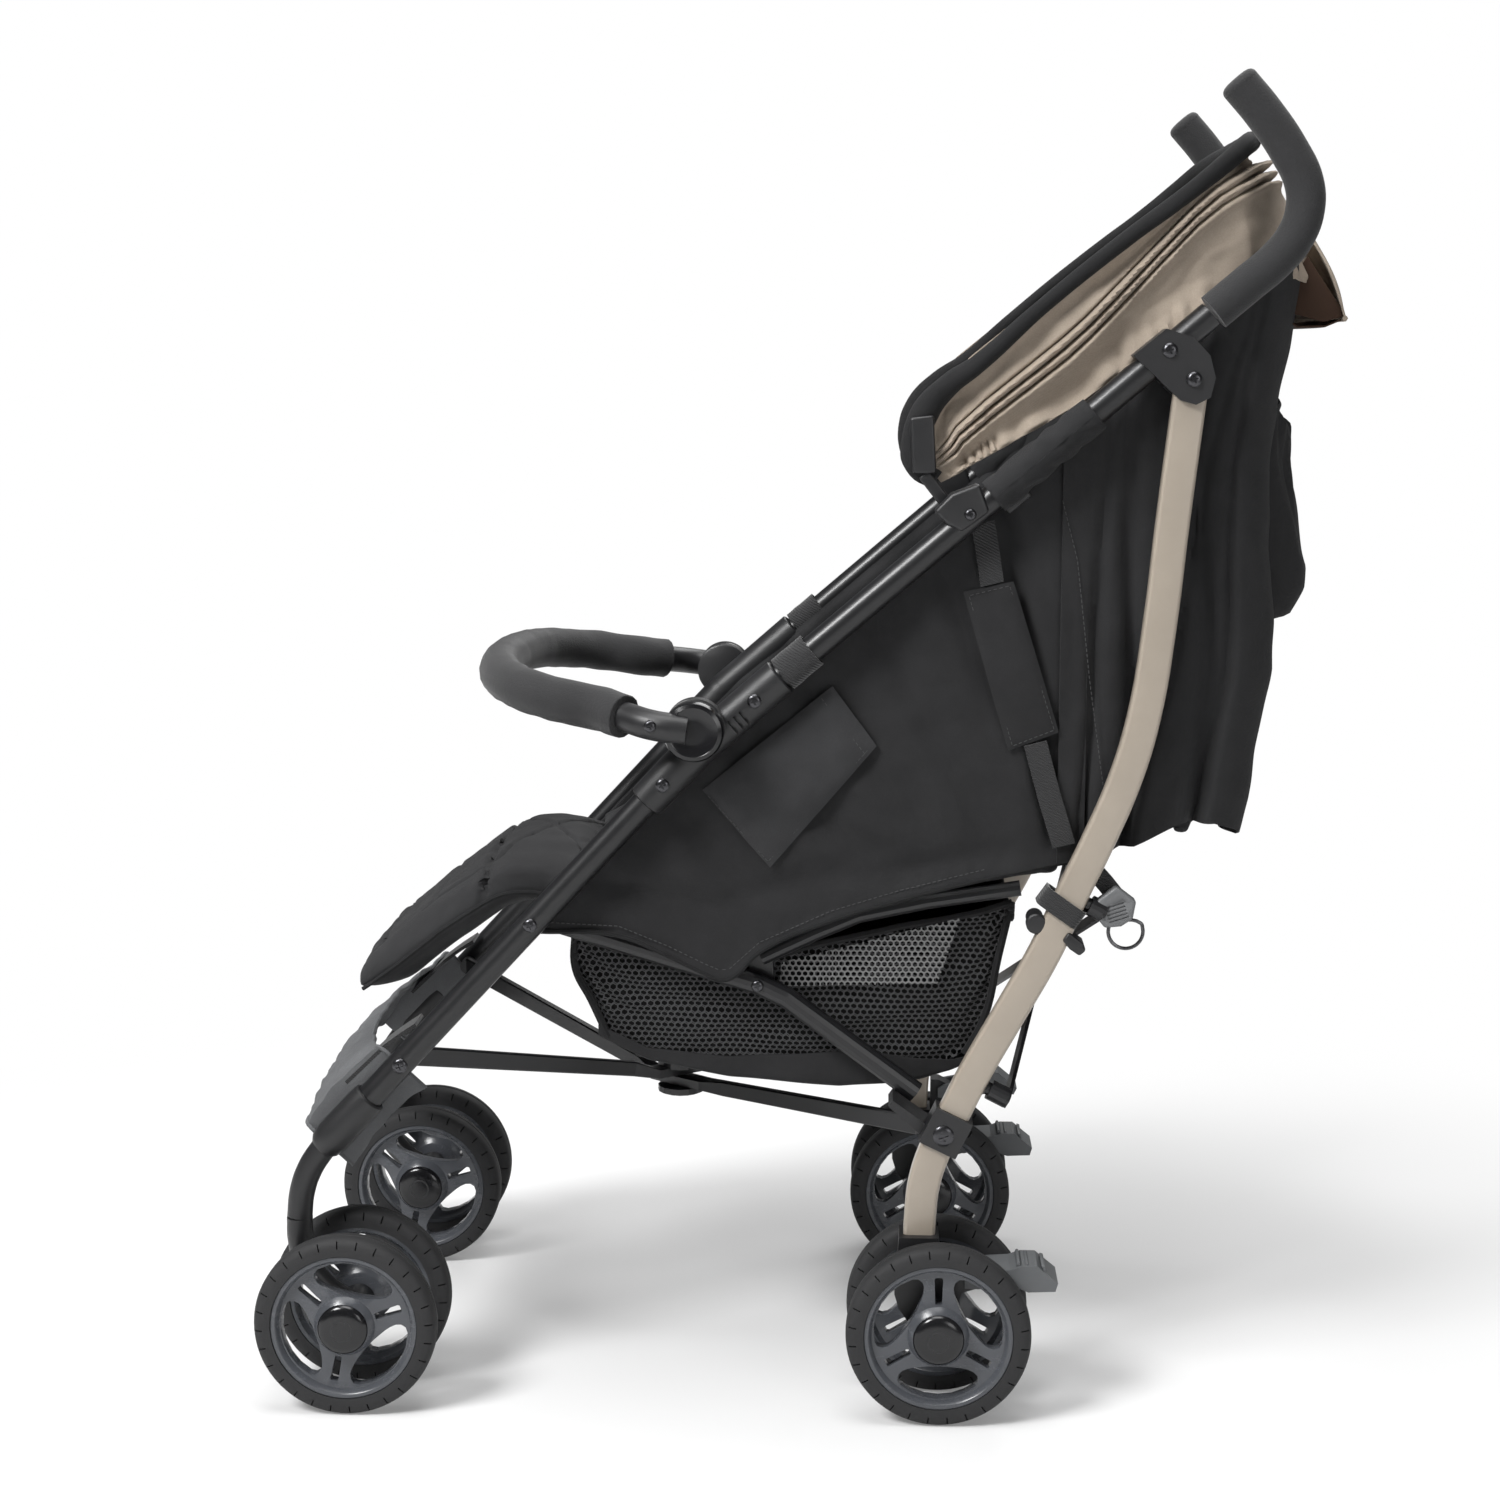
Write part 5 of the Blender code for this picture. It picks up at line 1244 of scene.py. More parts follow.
def make_sleeves():
    """Ruched sleeve, webbing loop and leg strap with its buckle."""
    sleeve = wrinkled("tube_sleeve", (0.169, 0.7475), (0.2462, 0.8125), 0.015, 2, 7, 0.001)
    sleeves = both_sides(sleeve, "tube_sleeve", "black_fabric", "frame", "black_fabric")
    lay_both(sleeves, 0.1, "gathered", "front_tube", share=0.98)
    lower = wrinkled("tube_loop", (0.004, 0.6068), (0.027, 0.6265), 0.013, 5, 2, 0.0002, 40, 16)
    both_sides(lower, "tube_loop", "webbing", "frame")
    loop = [
        (0.2124, 0.4316, 0.1725), (0.2124, 0.4316, 0.19), (0.2145, 0.4301, 0.1925),
        (0.227, 0.4213, 0.1928), (0.24, 0.4121, 0.1925), (0.242, 0.4107, 0.19),
        (0.242, 0.4107, 0.1725), (0.227, 0.4213, 0.1722), (0.2124, 0.4316, 0.1725),
    ]
    ring = strap("ring", [at(x, (y, z)) for y, z, x in loop], 0.016, (0, 0.577, 0.817), 0.0016)
    both_sides(ring, "leg_strap", "webbing", "rear_frame")
    knob = turned("knob", at(0.16, (0.2073, 0.4078)), (1, 0, 0), [
        (0.0, 0.007), (0.02, 0.007), (0.0212, 0.0082), (0.029, 0.0082), (0.0302, 0.007),
        (0.0306, 0.004),
    ], 36)
    both_sides(knob, "rail_knob", "black_plastic", "rear_frame")
    block = slab("block", [(0.228, 0.395), (0.233, 0.402), (0.245, 0.393), (0.247, 0.387),
                           (0.242, 0.3825), (0.234, 0.388)], SIDE_X - 0.012, SIDE_X + 0.0105)
    both_sides(rounded(block, 0.002, 4), "rail_block", "black_plastic", "rear_frame")
    web = strap("web", [at(SIDE_X - 0.004, p) for p in (
        (0.253, 0.45), (0.262, 0.44), (0.27, 0.43),
    )], 0.015, (0.15, 0.7, 0.66), 0.0016)
    both_sides(web, "buckle_strap", "webbing", "rear_frame")
    buckle = slab("buckle", [(0.2487, 0.4215), (0.2707, 0.4388), (0.2866, 0.4268), (0.2841, 0.4121),
                             (0.275, 0.406), (0.2619, 0.4046)], SIDE_X - 0.006, SIDE_X + 0.006)
    rounded(buckle, 0.0022, 4)
    across = (Vector((0, 0.2841, 0.4121)) - Vector((0, 0.2619, 0.4046))).normalized()
    along = Vector((0, -across.z, across.y))
    for index in range(5):
        centre = Vector((0, 0.273, 0.412)) + along * (0.003 * index)
        groove = slanted(centre, across, along, oblong(0.008, 0.0006))
        boolean(buckle, slab("groove", groove, SIDE_X + 0.005, SIDE_X + 0.02))
    both_sides(buckle, "strap_buckle", "buckle_plastic", "rear_frame")
    arc = []
    for k in range(15):
        turn = math.radians(-220 + 250 * k / 14)
        arc.append(at(SIDE_X, (0.279 + 0.0138 * math.cos(turn), 0.401 + 0.0138 * math.sin(turn))))
    ring = bar("ring", arc + [arc[0]], 0.0015, 12)
    both_sides(ring, "strap_ring", "ring_steel", "rear_frame")


CANOPY_TOP = [
    (0.104, 0.786), (0.112, 0.806), (0.126, 0.832), (0.15, 0.856), (0.21, 0.905), (0.266, 0.946),
    (0.318, 0.985),
]
CANOPY_LOW = [
    (0.128, 0.758), (0.14, 0.764), (0.152, 0.772), (0.174, 0.784), (0.237, 0.82), (0.286, 0.86),
    (0.337, 0.898),
]


CANOPY_SIDE = 0.62  # share of the way to the middle where the canopy leaves the side


def canopy_station(s):
    """Half width, front edge and rear edge of the folded canopy at s: 0 at the hinge, 1 at the middle."""
    side = s / CANOPY_SIDE
    if side <= 1.0:
        place = side * (len(CANOPY_TOP) - 1)
        i = min(int(place), len(CANOPY_TOP) - 2)
        t = place - i
        top = [CANOPY_TOP[i][k] + (CANOPY_TOP[i + 1][k] - CANOPY_TOP[i][k]) * t for k in (0, 1)]
        low = [CANOPY_LOW[i][k] + (CANOPY_LOW[i + 1][k] - CANOPY_LOW[i][k]) * t for k in (0, 1)]
        return 0.166, top, low
    over = [
        (0.0, 0.166, 0.318, 0.985, 0.337, 0.898), (0.18, 0.161, 0.345, 1.003, 0.372, 0.908),
        (0.36, 0.14, 0.36, 1.013, 0.402, 0.916), (0.58, 0.108, 0.37, 1.019, 0.43, 0.908),
        (0.8, 0.06, 0.376, 1.0215, 0.446, 0.895), (1.0, 0.0, 0.378, 1.022, 0.452, 0.888),
    ]
    t = (s - CANOPY_SIDE) / (1 - CANOPY_SIDE)
    row = [lerp_table(over, t, k) for k in range(1, 6)]
    return row[0], row[1:3], row[3:5]


RIDGE_PATH = [(0.0, 0.5), (0.15, 0.58), (0.3, 0.54), (0.45, 0.42), (0.58, 0.26), (0.66, 0.16), (1.0, 0.1)]


def canopy_point(u, v):
    """Point on the gathered canopy, from the left hinge over to the right one."""
    s = 1 - abs(u - 0.5) * 2
    sign = 1 if u < 0.5 else -1
    x, top, low = canopy_station(s)
    y = top[0] + (low[0] - top[0]) * v
    z = top[1] + (low[1] - top[1]) * v
    fade = smooth(0.0, 0.22, s)
    ridge = lerp_table(RIDGE_PATH, s, 1) + 0.01 * math.sin(s * 17)
    spread = 0.105 - 0.04 * s
    form = -0.008 * math.sin(math.pi * min(max(v / max(ridge - 0.02, 0.05), 0.0), 1.0)) ** 1.5
    for index, height in enumerate((0.0058, 0.0052, 0.004)):
        form += height * math.exp(-((v - ridge - index * spread) / 0.024) ** 2)
        form -= (height + 0.002) * math.exp(-((v - ridge - (index - 0.5) * spread) / 0.015) ** 2)
    after = ridge + 2.4 * spread
    form -= 0.006 * math.sin(math.pi * min(max((v - after) / max(0.97 - after, 0.05), 0.0), 1.0))
    form += 0.003 * math.sin(s * 150 + 5 * math.sin(s * 23)) * smooth(0.72, 0.98, v) * smooth(1.0, 0.97, v)
    form += ripple((s * 7, v * 3, 0), 1.4, 8) * 0.004 + ripple((s * 30, v * 9, 0), 1.0, 4) * 0.0014
    over = smooth(0.6, 0.74, s)
    x += form * fade * (1 - over)
    lift = (form * 1.1 + 0.01 * math.sin(v * math.pi)) * over
    y += lift * 0.85
    z += lift * 0.45
    return Vector((sign * x, y + SHIFT_Y, z))


def make_canopy():
    """Folded canopy, its black front hem, inner arms and the rear flap."""
    hood = cloth("canopy_sheet", 300, 84, canopy_point, 0.0014)
    dress(hood, "canopy_sheet", "tan_fabric", None, "tan_fabric", ("canopy_hood",))
    at(0, (0.3, 0.84))
    at(0, (0.235, 0.925))
    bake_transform(hood)
    x = 0.167
    half = [
        # x, y, z, radius
        (x, 0.1235, 0.76, 0.008), (x, 0.109, 0.772, 0.0105), (x, 0.108, 0.79, 0.0115),
        (x, 0.115, 0.813, 0.0112), (x, 0.133, 0.834, 0.009), (x, 0.156, 0.8507, 0.0074),
        (x, 0.2045, 0.894, 0.006), (x, 0.265, 0.943, 0.0062), (0.165, 0.3195, 0.9835, 0.0066),
        (0.16, 0.345, 1.004, 0.0074), (0.141, 0.36, 1.0165, 0.008), (0.108, 0.37, 1.0235, 0.0082),
        (0.06, 0.376, 1.0265, 0.0082),
    ]
    rows = half + [(0.0, 0.378, 1.0275, 0.0082)] + [(-a, b, c, r) for a, b, c, r in reversed(half)]
    hem = bar("canopy_hem", [Vector((a, b + SHIFT_Y, c)) for a, b, c, _ in rows], 0.0082, 28,
              radii=[row[3] for row in rows])
    for vertex in hem.data.vertices:
        vertex.co += Vector((1, 1, 1)) * (0.001 * ripple(vertex.co, 60.0, 6))
        vertex.co.x *= 1.0 - 0.02 * abs(ripple(vertex.co, 30.0, 2))
    dress(hem, "canopy_hem", "hem_fabric", "canopy_front", "black_fabric", ("canopy_bow",))
    arm = slab("arm", [
        (0.103, 0.809), (0.1217, 0.811), (0.1242, 0.7652), (0.1055, 0.7652),
    ], 0.169, 0.179)
    both_sides(rounded(arm, 0.0022, 4), "canopy_arm", "black_plastic", "canopy_front")
    link = slab("link", [
        (0.1179, 0.7681), (0.1359, 0.7451), (0.1281, 0.7389), (0.1101, 0.7619),
    ], 0.169, 0.1765)
    both_sides(rounded(link, 0.0016, 3), "canopy_link", "black_plastic", "canopy_front")
    clamp = slab("clamp", [
        (0.1219, 0.7367), (0.1357, 0.7506), (0.1573, 0.7585), (0.1656, 0.7368), (0.144, 0.7208),
        (0.132, 0.7268),
    ], 0.17, 0.195)
    both_sides(rounded(clamp, 0.003, 4), "canopy_clamp_skin", "black_plastic", "frame", "black_plastic",
               ("canopy_clamp",))

    def flap_point(u, v):
        s = (u - 0.5) * 2
        side = abs(s)
        top = Vector((0, 0.433 - 0.016 * side ** 2, 0.948))
        low = Vector((0, 0.456 - 0.011 * side ** 2, 0.886))
        point = top.lerp(low, v)
        point.y += 0.004 * math.sin(v * math.pi) + ripple((s * 3, v, 0), 1.3, 3) * 0.003
        return Vector((s * 0.132, point.y + SHIFT_Y, point.z))

    flap = cloth("canopy_flap", 60, 20, flap_point, 0.0016)
    dress(flap, "canopy_flap", "tan_fabric", "frame", "tan_fabric")
    edge = bar("edge", [flap_point(k / 30, 1.0) for k in range(31)], 0.0022, 10)
    dress(edge, "canopy_flap_edge", "tan_fabric", "frame", "tan_fabric")
    # The dark brown sheet under the flap's curled edge and the dark brown piece at each end of the curl are
    # painted shade.
    inner = [
        (0.454, 0.885), (0.442, 0.88), (0.42, 0.8795), (0.404, 0.89), (0.404, 0.906),
        (0.4075, 0.922),
    ]

    def shade_sheet_point(u, v):
        s = (u - 0.5) * 2
        place = v * (len(inner) - 1)
        i = min(int(place), len(inner) - 2)
        point = Vector((0, *inner[i])).lerp(Vector((0, *inner[i + 1])), place - i)
        return Vector((s * 0.128, point.y + SHIFT_Y - 0.011 * s * s, point.z))

    shade_sheet = cloth("canopy_underside_shade_sheet", 40, 20, shade_sheet_point, 0.0012)
    dress(shade_sheet, "canopy_underside_shade_sheet", "canopy_underside_shade", "frame", "tan_fabric")
    curl_end_shade = slab("curl_end_shade", [
        (0.4154, 0.9344), (0.447, 0.888), (0.4291, 0.8834), (0.4028, 0.8906), (0.4059, 0.9205),
    ], 0.1262, 0.1278)
    both_sides(curl_end_shade, "canopy_gusset", "canopy_underside_shade", "frame", "tan_fabric")
    lay(hood, 0.3, "gathered", "canopy_hem", "canopy_clamp_left", parts=[hem], share=0.7)
    lay(flap, 0.27, "hung", "canopy_sheet", parts=[edge], share=0.98)
    lay(shade_sheet, 0.27, "hung", "canopy_flap", share=0.98)


PAD_LINE = [
    # y, z, half thickness, droop of the sides
    (-0.15, 0.428, 0.013, 0.02), (-0.175, 0.432, 0.0155, 0.02), (-0.2, 0.434, 0.0175, 0.018),
    (-0.22, 0.43, 0.019, 0.013), (-0.24, 0.42, 0.019, 0.009), (-0.279, 0.392, 0.0172, 0.006),
    (-0.318, 0.361, 0.0165, 0.006), (-0.34, 0.345, 0.015, 0.006), (-0.356, 0.333, 0.012, 0.006),
]


PAD_HALF = 0.13
CHANNEL_DEPTH = 0.005


def make_leg_rest():
    """Quilted calf pad, bent between its flat and its sloping part."""
    spans = [0.0]
    for a, b in zip(PAD_LINE[:-1], PAD_LINE[1:]):
        spans.append(spans[-1] + math.dist(a[:2], b[:2]))

    def middle(t):
        k, f = locate(spans, t)
        return [a + (b - a) * f for a, b in zip(PAD_LINE[k], PAD_LINE[k + 1])]

    def centre(t):
        return at(0, middle(t)[:2])

    def place(u, v):
        s = (u - 0.5) * 2
        upper = v < 0.5
        t = v * 2 if upper else (1 - v) * 2
        point = centre(t)
        _, _, thick, droop = middle(t)
        along = (centre(min(t + 0.06, 1.0)) - centre(max(t - 0.06, 0.0))).normalized()
        up = Vector((0, -along.z, along.y))
        if up.z < 0:
            up = -up
        half = PAD_HALF - 0.01 * smooth(0.86, 1.0, t) ** 2
        rim = max(1 - abs(s) ** 14, 0.0) ** 0.5 * max(1 - abs(2 * t - 1) ** 16, 0.0) ** 0.5
        puff = ripple((s * 4, t * 4, 0), 1.3, 3) * 0.0022
        thick = (thick - 0.003 + puff) * rim
        point += Vector((s * half, 0, -droop * s * s)) + up * (thick if upper else -thick * 0.95)
        return point

    pad = grid("calf_pad", 100, 200, place)
    outward(pad)
    plump(pad, 0.0045)

    def sewn(s, t):
        """Depth of the sewn channels, 0 to 1."""
        border = math.exp(-((abs(s) - 0.72) / 0.026) ** 2) * smooth(0.42, 0.47, t)
        border = max(border, math.exp(-((t - 0.92) / 0.014) ** 2) * smooth(0.76, 0.72, abs(s)))
        cross = math.exp(-((t - 0.43) / 0.018) ** 2)
        if t < 0.43:
            for lean in (1, -1):
                cross = max(cross, 0.9 * math.exp(-((s - lean * (t / 0.43 * 2 - 1) * 0.8) / 0.045) ** 2))
        if 0.47 < t < 0.92:
            middle_seam = 0.6 * math.exp(-((t - 0.68 - 0.02 * s * s) / 0.016) ** 2)
            cross = max(cross, middle_seam * smooth(0.74, 0.7, abs(s)))
        return max(border, cross)

    marks = [(-centre(k / 40).y, k / 40) for k in range(41)]
    for vertex in pad.data.vertices:
        if vertex.normal.z < -0.1:
            continue
        t = lerp_table(marks, -vertex.co.y, 1)
        depth = CHANNEL_DEPTH * sewn(vertex.co.x / PAD_HALF, t) + 0.0012 * ripple(vertex.co, 55.0, 6)
        vertex.co -= vertex.normal * depth * smooth(-0.1, 0.4, vertex.normal.z)
    dress(shade(pad, 70), "calf_pad", "pad_fabric", "calf_rest", "black_fabric", ("leg_rest",))
    line = []
    for k in range(17):
        t = 0.02 + 0.95 * k / 16
        drop = Vector((0.1285 - 0.01 * smooth(0.86, 1.0, t) ** 2, 0, -middle(t)[3] * 0.98))
        line.append(centre(t) + drop)
    both_sides(bar("piping", line, 0.0019, 10), "calf_pad_piping", "hem_fabric", "calf_rest")


def make_sling():
    """Foot sling hung between the front tubes."""
    top = at(0, (-0.296, 0.2975))
    bottom = at(0, (-0.37, 0.2172))
    along = (bottom - top).normalized()
    out = Vector((0, along.z, -along.y))

    def place(u, v):
        s = (u - 0.5) * 2
        side = abs(s)
        x = 0.17 * min(side / 0.9, 1.0)
        lift = 0.033 - 0.012 * (side / 0.9) ** 2
        if side > 0.9:
            lift = 0.021 - 0.05 * (side - 0.9) / 0.1
        lift += 0.005 * math.sin(v * math.pi) + ripple((s * 4, v * 2, 0), 2.2, 7) * 0.0035
        start = 0.2 + 0.23 * max(1 - (side / 0.9) ** 2, 0.0) ** 0.7
        point = top.lerp(bottom, start + (1.06 - start) * v) + out * lift
        return point + Vector((x if s > 0 else -x, 0, 0))

    sling = cloth("foot_sling_sheet", 120, 30, place, 0.0018)
    dress(sling, "foot_sling_sheet", "grey_fabric", "frame", "grey_fabric", ("foot_sling",))
    hems = []
    for v, stem in ((0.02, "top"), (0.98, "bottom")):
        edge = bar("edge", [place(k / 40, v) for k in range(41)], 0.0018, 8)
        hems.append(dress(edge, f"foot_sling_{stem}_hem", "grey_fabric", "frame", "grey_fabric"))
    lay(sling, 0.42, "hung", "front_tube_left", "front_tube_right", parts=hems, share=0.8)
    hanger = strap("hanger", [top.lerp(bottom, p) + out * q + Vector((0.154, 0, 0)) for p, q in (
        (-0.1, 0.012), (0.05, 0.016), (0.2, 0.019), (0.6, 0.0215),
    )], 0.034, (1, 0, 0), 0.003)
    both_sides(hanger, "sling_hanger", "webbing", "frame")


BAND = [
    # y, lower edge, height of the band
    (-0.15, 0.2997, 0.009), (-0.1087, 0.2794, 0.0095), (-0.041, 0.2663, 0.0165), (0.02, 0.2615, 0.0245),
    (0.0492, 0.2592, 0.029), (0.085, 0.262, 0.025), (0.1166, 0.2662, 0.0165), (0.142, 0.274, 0.008),
    (0.1611, 0.283, 0.004),
]


BASKET = [
    # y, rim height, floor height
    (-0.169, 0.386, 0.356), (-0.156, 0.38, 0.33), (-0.142, 0.376, 0.299),
    (-0.12, 0.37, 0.28), (-0.066, 0.356, 0.269), (-0.016, 0.364, 0.264),
    (0.02, 0.376, 0.2625), (0.058, 0.385, 0.2625),
    (0.1, 0.395, 0.267), (0.13, 0.4, 0.273), (0.153, 0.405, 0.288), (0.169, 0.409, 0.318),
    (0.18, 0.413, 0.372), (0.19, 0.416, 0.4),
]


def flat_map(obj, flatten):
    """Lay a net's texture map out by a function of each point's place."""
    uv = obj.data.uv_layers[0].data
    for loop in obj.data.loops:
        uv[loop.index].uv = flatten(obj.data.vertices[loop.vertex_index].co)


def make_basket():
    """Net basket with a solid bottom band, a rim binding and an inner patch."""
    def side_height(y, t):
        rim, floor = lerp_table(BASKET, y, 1), lerp_table(BASKET, y, 2)
        return floor + (rim - floor) * t

    def place(u, v, inset=0.0):
        y = -0.169 + 0.359 * v
        s = (u - 0.5) * 2
        side = abs(s)
        floor = lerp_table(BASKET, y, 2)
        if side > 0.45:
            t = (side - 0.45) / 0.55
            x, z = 0.136 + 0.008 * t, side_height(y, t ** 1.15)
        else:
            t = side / 0.45
            x, z = 0.136 * t, floor - 0.003 * (1 - t * t)
        x += ripple((y, z, s), 16.0, 13) * 0.0025 - inset
        return Vector(((x if s > 0 else -x), y + SHIFT_Y, z))

    net = cloth("basket_net", 100, 100, place, 0.001)
    flat_map(net, lambda co: (co.y + co.x * 0.3, co.z + co.x * 0.95))
    dress(net, "basket_net", "net", "frame", "black_fabric", ("basket",))

    def band_point(u, v):
        y = -0.15 + 0.3111 * v
        s = (u - 0.5) * 2
        side = abs(s)
        low, wave = lerp_table(BAND, y, 1) - 0.0015, lerp_table(BAND, y, 2)
        if side > 0.72:
            x, z = 0.1388 + 0.0006 * (side - 0.72) / 0.28, low + 0.001 + wave * (side - 0.72) / 0.28
        else:
            x, z = 0.1388 * side / 0.72, low - 0.003 * (1 - (side / 0.72) ** 2)
        x += 0.001 * math.sin(y * 80) + 0.0008
        return Vector(((x if s > 0 else -x), y + SHIFT_Y, z))

    band = cloth("basket_band", 60, 90, band_point, 0.0016)
    dress(band, "basket_band", "black_fabric", "frame", "black_fabric")
    rim = bar("rim", [place(1.0, k / 40) for k in range(41)], 0.003, 10)
    rims = both_sides(rim, "basket_rim", "hem_fabric", "frame", "black_fabric")
    bindings = []
    for v, stem in ((0.0, "front"), (1.0, "rear")):
        end = bar("end", [place(k / 50, v) for k in range(51)], 0.0026, 10)
        bindings.append(dress(end, f"basket_{stem}_binding", "hem_fabric", "frame", "black_fabric"))

    # A near-black sheet just inside the net paints the shade inside the basket.
    def shade_sheet_point(u, v):
        return place(u, v, inset=0.004) + Vector((0, 0, 0.0012))

    shade_sheet = cloth("basket_shade_sheet", 50, 60, shade_sheet_point, 0.0008)
    dress(shade_sheet, "basket_shade_sheet", "basket_painted_shade", "frame", "black_fabric")
    patch = cloth("basket_patch", 20, 12, quad_point(
        ((0.0, 0.344), (0.13, 0.348), (0.148, 0.403), (0.002, 0.364)), 0.1468, 0.0006), 0.0008)
    flat_map(patch, lambda co: (co.y, co.z))
    patches = both_sides(patch, "basket_patch", "pale_net", "frame", "black_fabric")
    for stem, points in (
        ("front", ((-0.169, 0.386), (-0.169, 0.356), (-0.156, 0.329), (-0.142, 0.298))),
        ("rear", ((0.153, 0.287), (0.169, 0.318), (0.18, 0.37), (0.19, 0.415))),
    ):
        corner = bar("corner", [at(0.1395, p) for p in points], 0.0034, 10)
        bindings += both_sides(corner, f"basket_{stem}_corner", "hem_fabric", "frame", "black_fabric")
    lay(net, 0.53, "hung", "seat_rail_left", "seat_rail_right", parts=[*rims, *bindings], share=0.95)
    lay(band, 0.4, "hung", net, share=0.9)
    lay(shade_sheet, 0.53, "hung", net, share=0.95)
    lay_both(patches, 0.15, "hung", "basket_rim", share=0.9)


# The photograph's camera, solved from the wheel circles and the handle ends.
CAMERA_PLACE = (2.2397, 0.078 + SHIFT_Y, 0.8592)
CAMERA_FORWARD = (-0.98745, -0.04805, -0.15043)
CAMERA_LENS = 62.66


def make_stage():
    """Floor, lights and camera."""
    deselect()
    bpy.ops.mesh.primitive_plane_add(size=14.0)
    floor = bpy.context.object
    floor.name = "floor"
    sheet = FinishSheet("pale_floor")
    sheet.feed("Base Color", (0.8, 0.8, 0.8))
    sheet.feed("Roughness", 0.9)
    sheet.feed("Specular IOR Level", 0.0)
    x, y, _ = sheet.axes()
    reach = (x * x + y * y).math("SQRT")
    far = sheet.node("ShaderNodeMapRange", {"interpolation_type": "SMOOTHSTEP"}, {
        "Value": reach, "From Min": 0.35, "From Max": 1.25, "To Min": 0.18, "To Max": 1.0,
    })
    seen = sheet.node("ShaderNodeLightPath", output="Is Camera Ray")
    glow = sheet.node("ShaderNodeEmission", {}, {"Color": (1, 1, 1, 1), "Strength": 1.0})
    mixer = sheet.tree.nodes.new("ShaderNodeMixShader")
    output = sheet.tree.nodes["Material Output"]
    factor = far * seen
    sheet.tree.links.new(factor.socket, mixer.inputs[0])
    sheet.tree.links.new(sheet.shader.outputs[0], mixer.inputs[1])
    sheet.tree.links.new(glow.socket, mixer.inputs[2])
    sheet.tree.links.new(mixer.outputs[0], output.inputs[0])
    floor.data.materials.append(sheet.material)
    world = bpy.data.worlds.new("studio")
    bpy.context.scene.world = world
    world.use_nodes = True
    tree = world.node_tree
    background = tree.nodes["Background"]
    background.inputs[0].default_value = (1, 1, 1, 1)
    paths = tree.nodes.new("ShaderNodeLightPath")
    level = tree.nodes.new("ShaderNodeMath")
    level.operation = "MULTIPLY_ADD"
    level.inputs[1].default_value = 0.86
    level.inputs[2].default_value = 0.14
    tree.links.new(paths.outputs["Is Camera Ray"], level.inputs[0])
    tree.links.new(level.outputs[0], background.inputs[1])
    for name, place, aim, size, power in (
        ("key", (1.9, -1.9, 2.9), (0, 0, 0.5), 1.1, 135),
        ("fill", (2.8, 1.8, 1.2), (0, 0, 0.5), 1.2, 16),
        ("back", (-2.2, 0.8, 2.8), (0, 0, 0.5), 1.8, 45),
        ("top", (0.4, -0.1, 3.3), (0, 0, 0.4), 1.8, 60),
    ):
        bpy.ops.object.light_add(type="AREA", location=place)
        lamp = bpy.context.object
        lamp.name = name
        lamp.data.size = size
        lamp.data.energy = power
        lamp.rotation_euler = (Vector(aim) - Vector(place)).to_track_quat("-Z", "Y").to_euler()
    bpy.ops.object.camera_add(location=CAMERA_PLACE)
    camera = bpy.context.object
    camera.rotation_euler = Vector(CAMERA_FORWARD).to_track_quat("-Z", "Y").to_euler()
    camera.data.lens = CAMERA_LENS
    camera.data.sensor_width = 36.0
    bpy.context.scene.camera = camera
    bpy.context.scene.view_settings.view_transform = "Standard"


# Operators


class FramePiece:
    """What every operator of this add-on shares."""

    bl_options = {"REGISTER", "UNDO"}


class PUSHCHAIR_OT_finishes(FramePiece, Operator):
    """Make the materials and dress the CAD pieces that stay in view"""

    bl_idname = "pushchair.finishes"
    bl_label = "Finishes and mouldings"

    def execute(self, context):
        make_finishes(context.scene.pushchair_colours)
        make_mouldings()
        return {"FINISHED"}


class PUSHCHAIR_OT_tubes(FramePiece, Operator):
    """Model the front tubes, grips and rear legs"""

    bl_idname = "pushchair.tubes"
    bl_label = "Tubes, grips and legs"

    def execute(self, context):
        make_tubes(context.scene.pushchair_sizes)
        return {"FINISHED"}


class PUSHCHAIR_OT_wheels(FramePiece, Operator):
    """Model the eight wheels"""

    bl_idname = "pushchair.wheels"
    bl_label = "Wheels"

    def execute(self, context):
        make_wheels(context.scene.pushchair_sizes)
        return {"FINISHED"}


class PUSHCHAIR_OT_fittings(FramePiece, Operator):
    """Model the front feet, the casters and the collars"""

    bl_idname = "pushchair.fittings"
    bl_label = "Feet and collars"

    def execute(self, context):
        make_feet()
        make_collars()
        return {"FINISHED"}


class PUSHCHAIR_OT_bumper(FramePiece, Operator):
    """Model the bumper bar"""

    bl_idname = "pushchair.bumper"
    bl_label = "Bumper bar"

    def execute(self, context):
        make_bumper()
        return {"FINISHED"}


class PUSHCHAIR_OT_seat(FramePiece, Operator):
    """Sew the seat, back and pockets"""

    bl_idname = "pushchair.seat"
    bl_label = "Seat and back"

    def execute(self, context):
        make_seat(context.scene.pushchair_sizes)
        return {"FINISHED"}


class PUSHCHAIR_OT_canopy(FramePiece, Operator):
    """Sew the folded canopy"""

    bl_idname = "pushchair.canopy"
    bl_label = "Canopy"

    def execute(self, context):
        make_canopy()
        return {"FINISHED"}


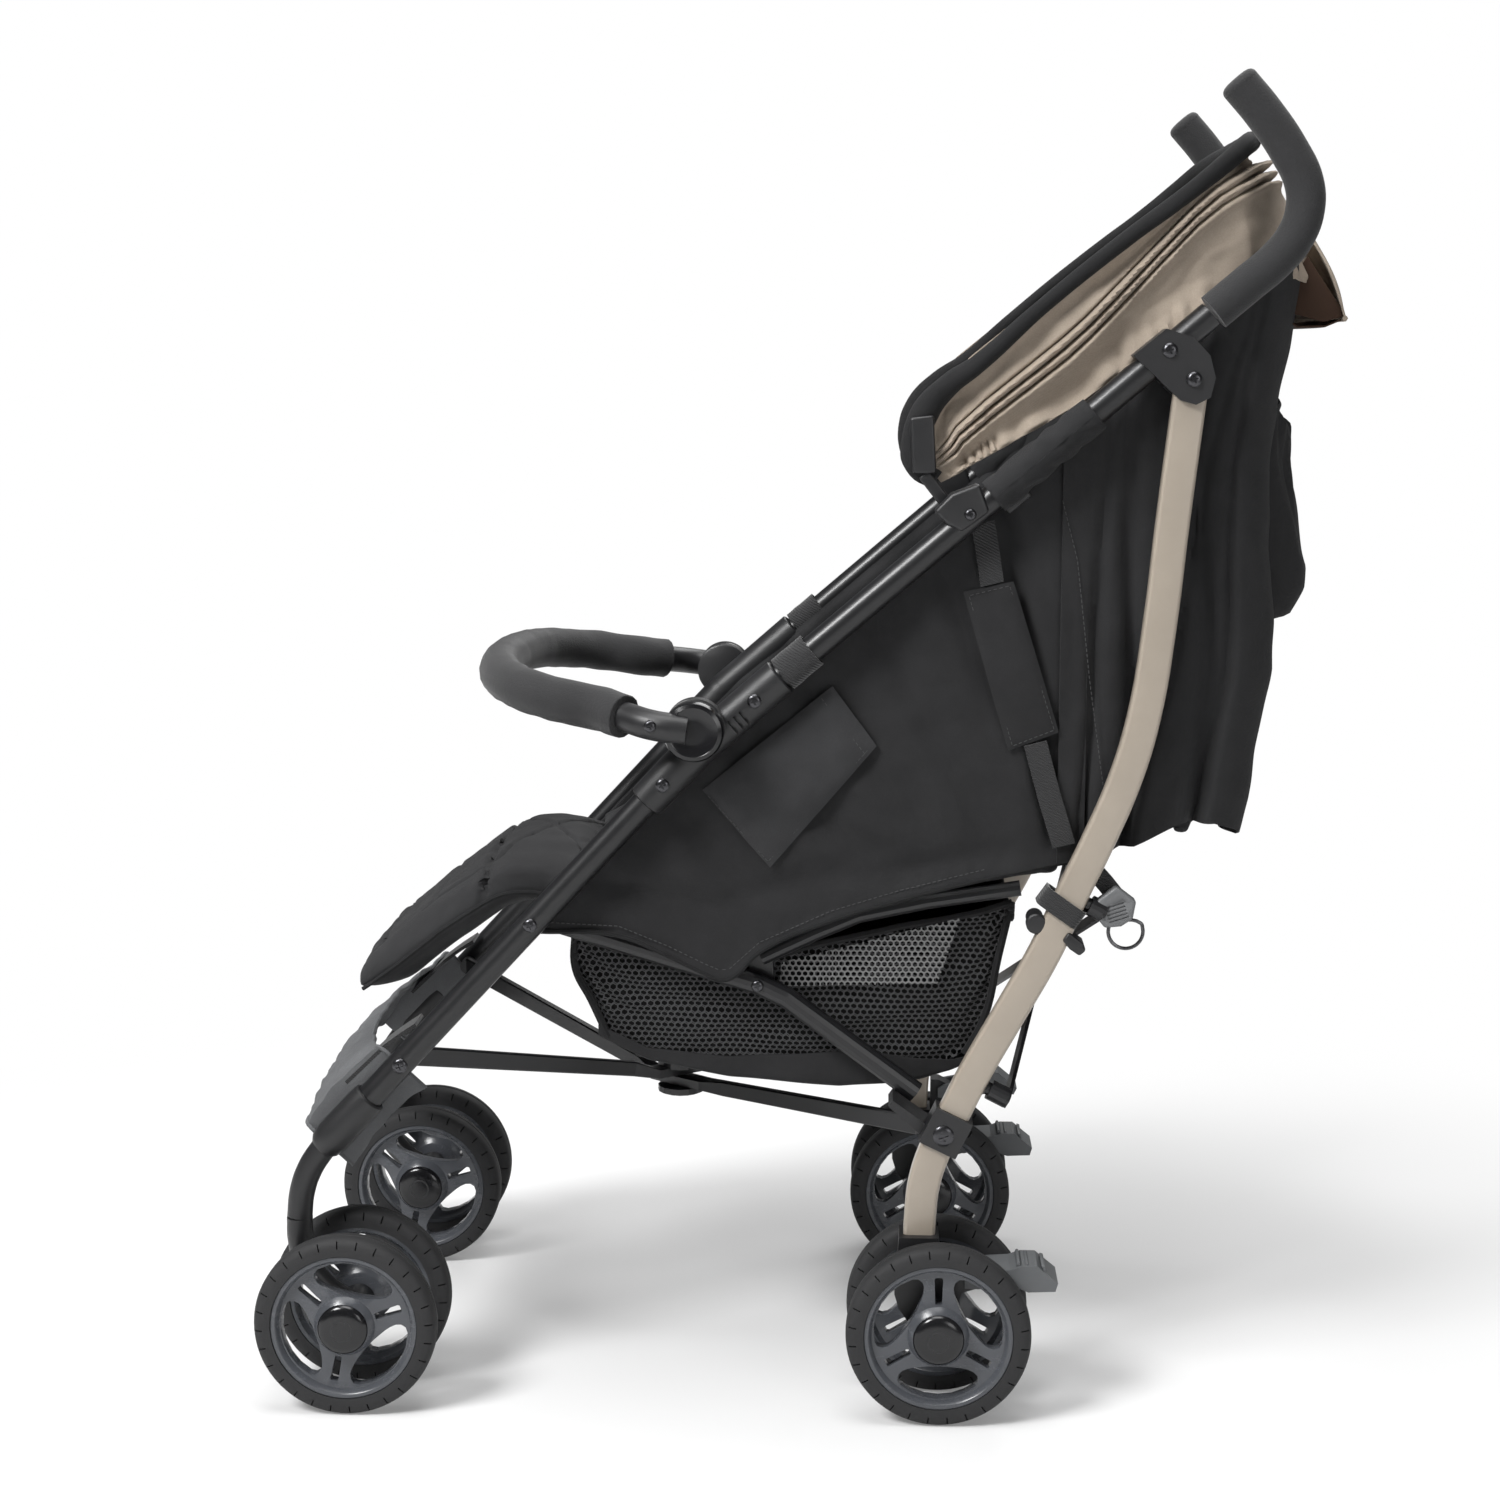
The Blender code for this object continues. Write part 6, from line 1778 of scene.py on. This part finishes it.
class PUSHCHAIR_OT_leg_rest(FramePiece, Operator):
    """Sew the calf pad and the foot sling"""

    bl_idname = "pushchair.leg_rest"
    bl_label = "Calf pad and foot sling"

    def execute(self, context):
        make_leg_rest()
        make_sling()
        return {"FINISHED"}


class PUSHCHAIR_OT_basket(FramePiece, Operator):
    """Sew the basket"""

    bl_idname = "pushchair.basket"
    bl_label = "Basket"

    def execute(self, context):
        make_basket()
        return {"FINISHED"}


class PUSHCHAIR_OT_stage(FramePiece, Operator):
    """Set up the floor, the lights and the camera"""

    bl_idname = "pushchair.stage"
    bl_label = "Stage"

    def execute(self, context):
        make_stage()
        return {"FINISHED"}


OPERATORS = (
    PUSHCHAIR_OT_finishes, PUSHCHAIR_OT_tubes, PUSHCHAIR_OT_wheels, PUSHCHAIR_OT_fittings,
    PUSHCHAIR_OT_bumper, PUSHCHAIR_OT_seat, PUSHCHAIR_OT_canopy, PUSHCHAIR_OT_leg_rest,
    PUSHCHAIR_OT_basket, PUSHCHAIR_OT_stage,
)


class PUSHCHAIR_PT_panel(Panel):
    """Sidebar panel with the sizes, colours and steps"""

    bl_label = "Pushchair"
    bl_idname = "PUSHCHAIR_PT_panel"
    bl_space_type = "VIEW_3D"
    bl_region_type = "UI"
    bl_category = "Pushchair"

    def draw(self, context):
        for group in (context.scene.pushchair_sizes, context.scene.pushchair_colours):
            for name in group.__annotations__:
                self.layout.prop(group, name)
        for operator in OPERATORS:
            self.layout.operator(operator.bl_idname)


CLASSES = (PushchairSizes, PushchairColours, *OPERATORS, PUSHCHAIR_PT_panel)


def register():
    """Register the add-on's classes."""
    for entry in CLASSES:
        bpy.utils.register_class(entry)
    bpy.types.Scene.pushchair_sizes = PointerProperty(type=PushchairSizes)
    bpy.types.Scene.pushchair_colours = PointerProperty(type=PushchairColours)


def unregister():
    """Remove the add-on's classes."""
    del bpy.types.Scene.pushchair_sizes
    del bpy.types.Scene.pushchair_colours
    for entry in reversed(CLASSES):
        bpy.utils.unregister_class(entry)


def main():
    """Register the add-on and run every step in order."""
    register()
    for operator in OPERATORS:
        group, name = operator.bl_idname.split(".")
        getattr(getattr(bpy.ops, group), name)()


if __name__ == "__main__":
    main()
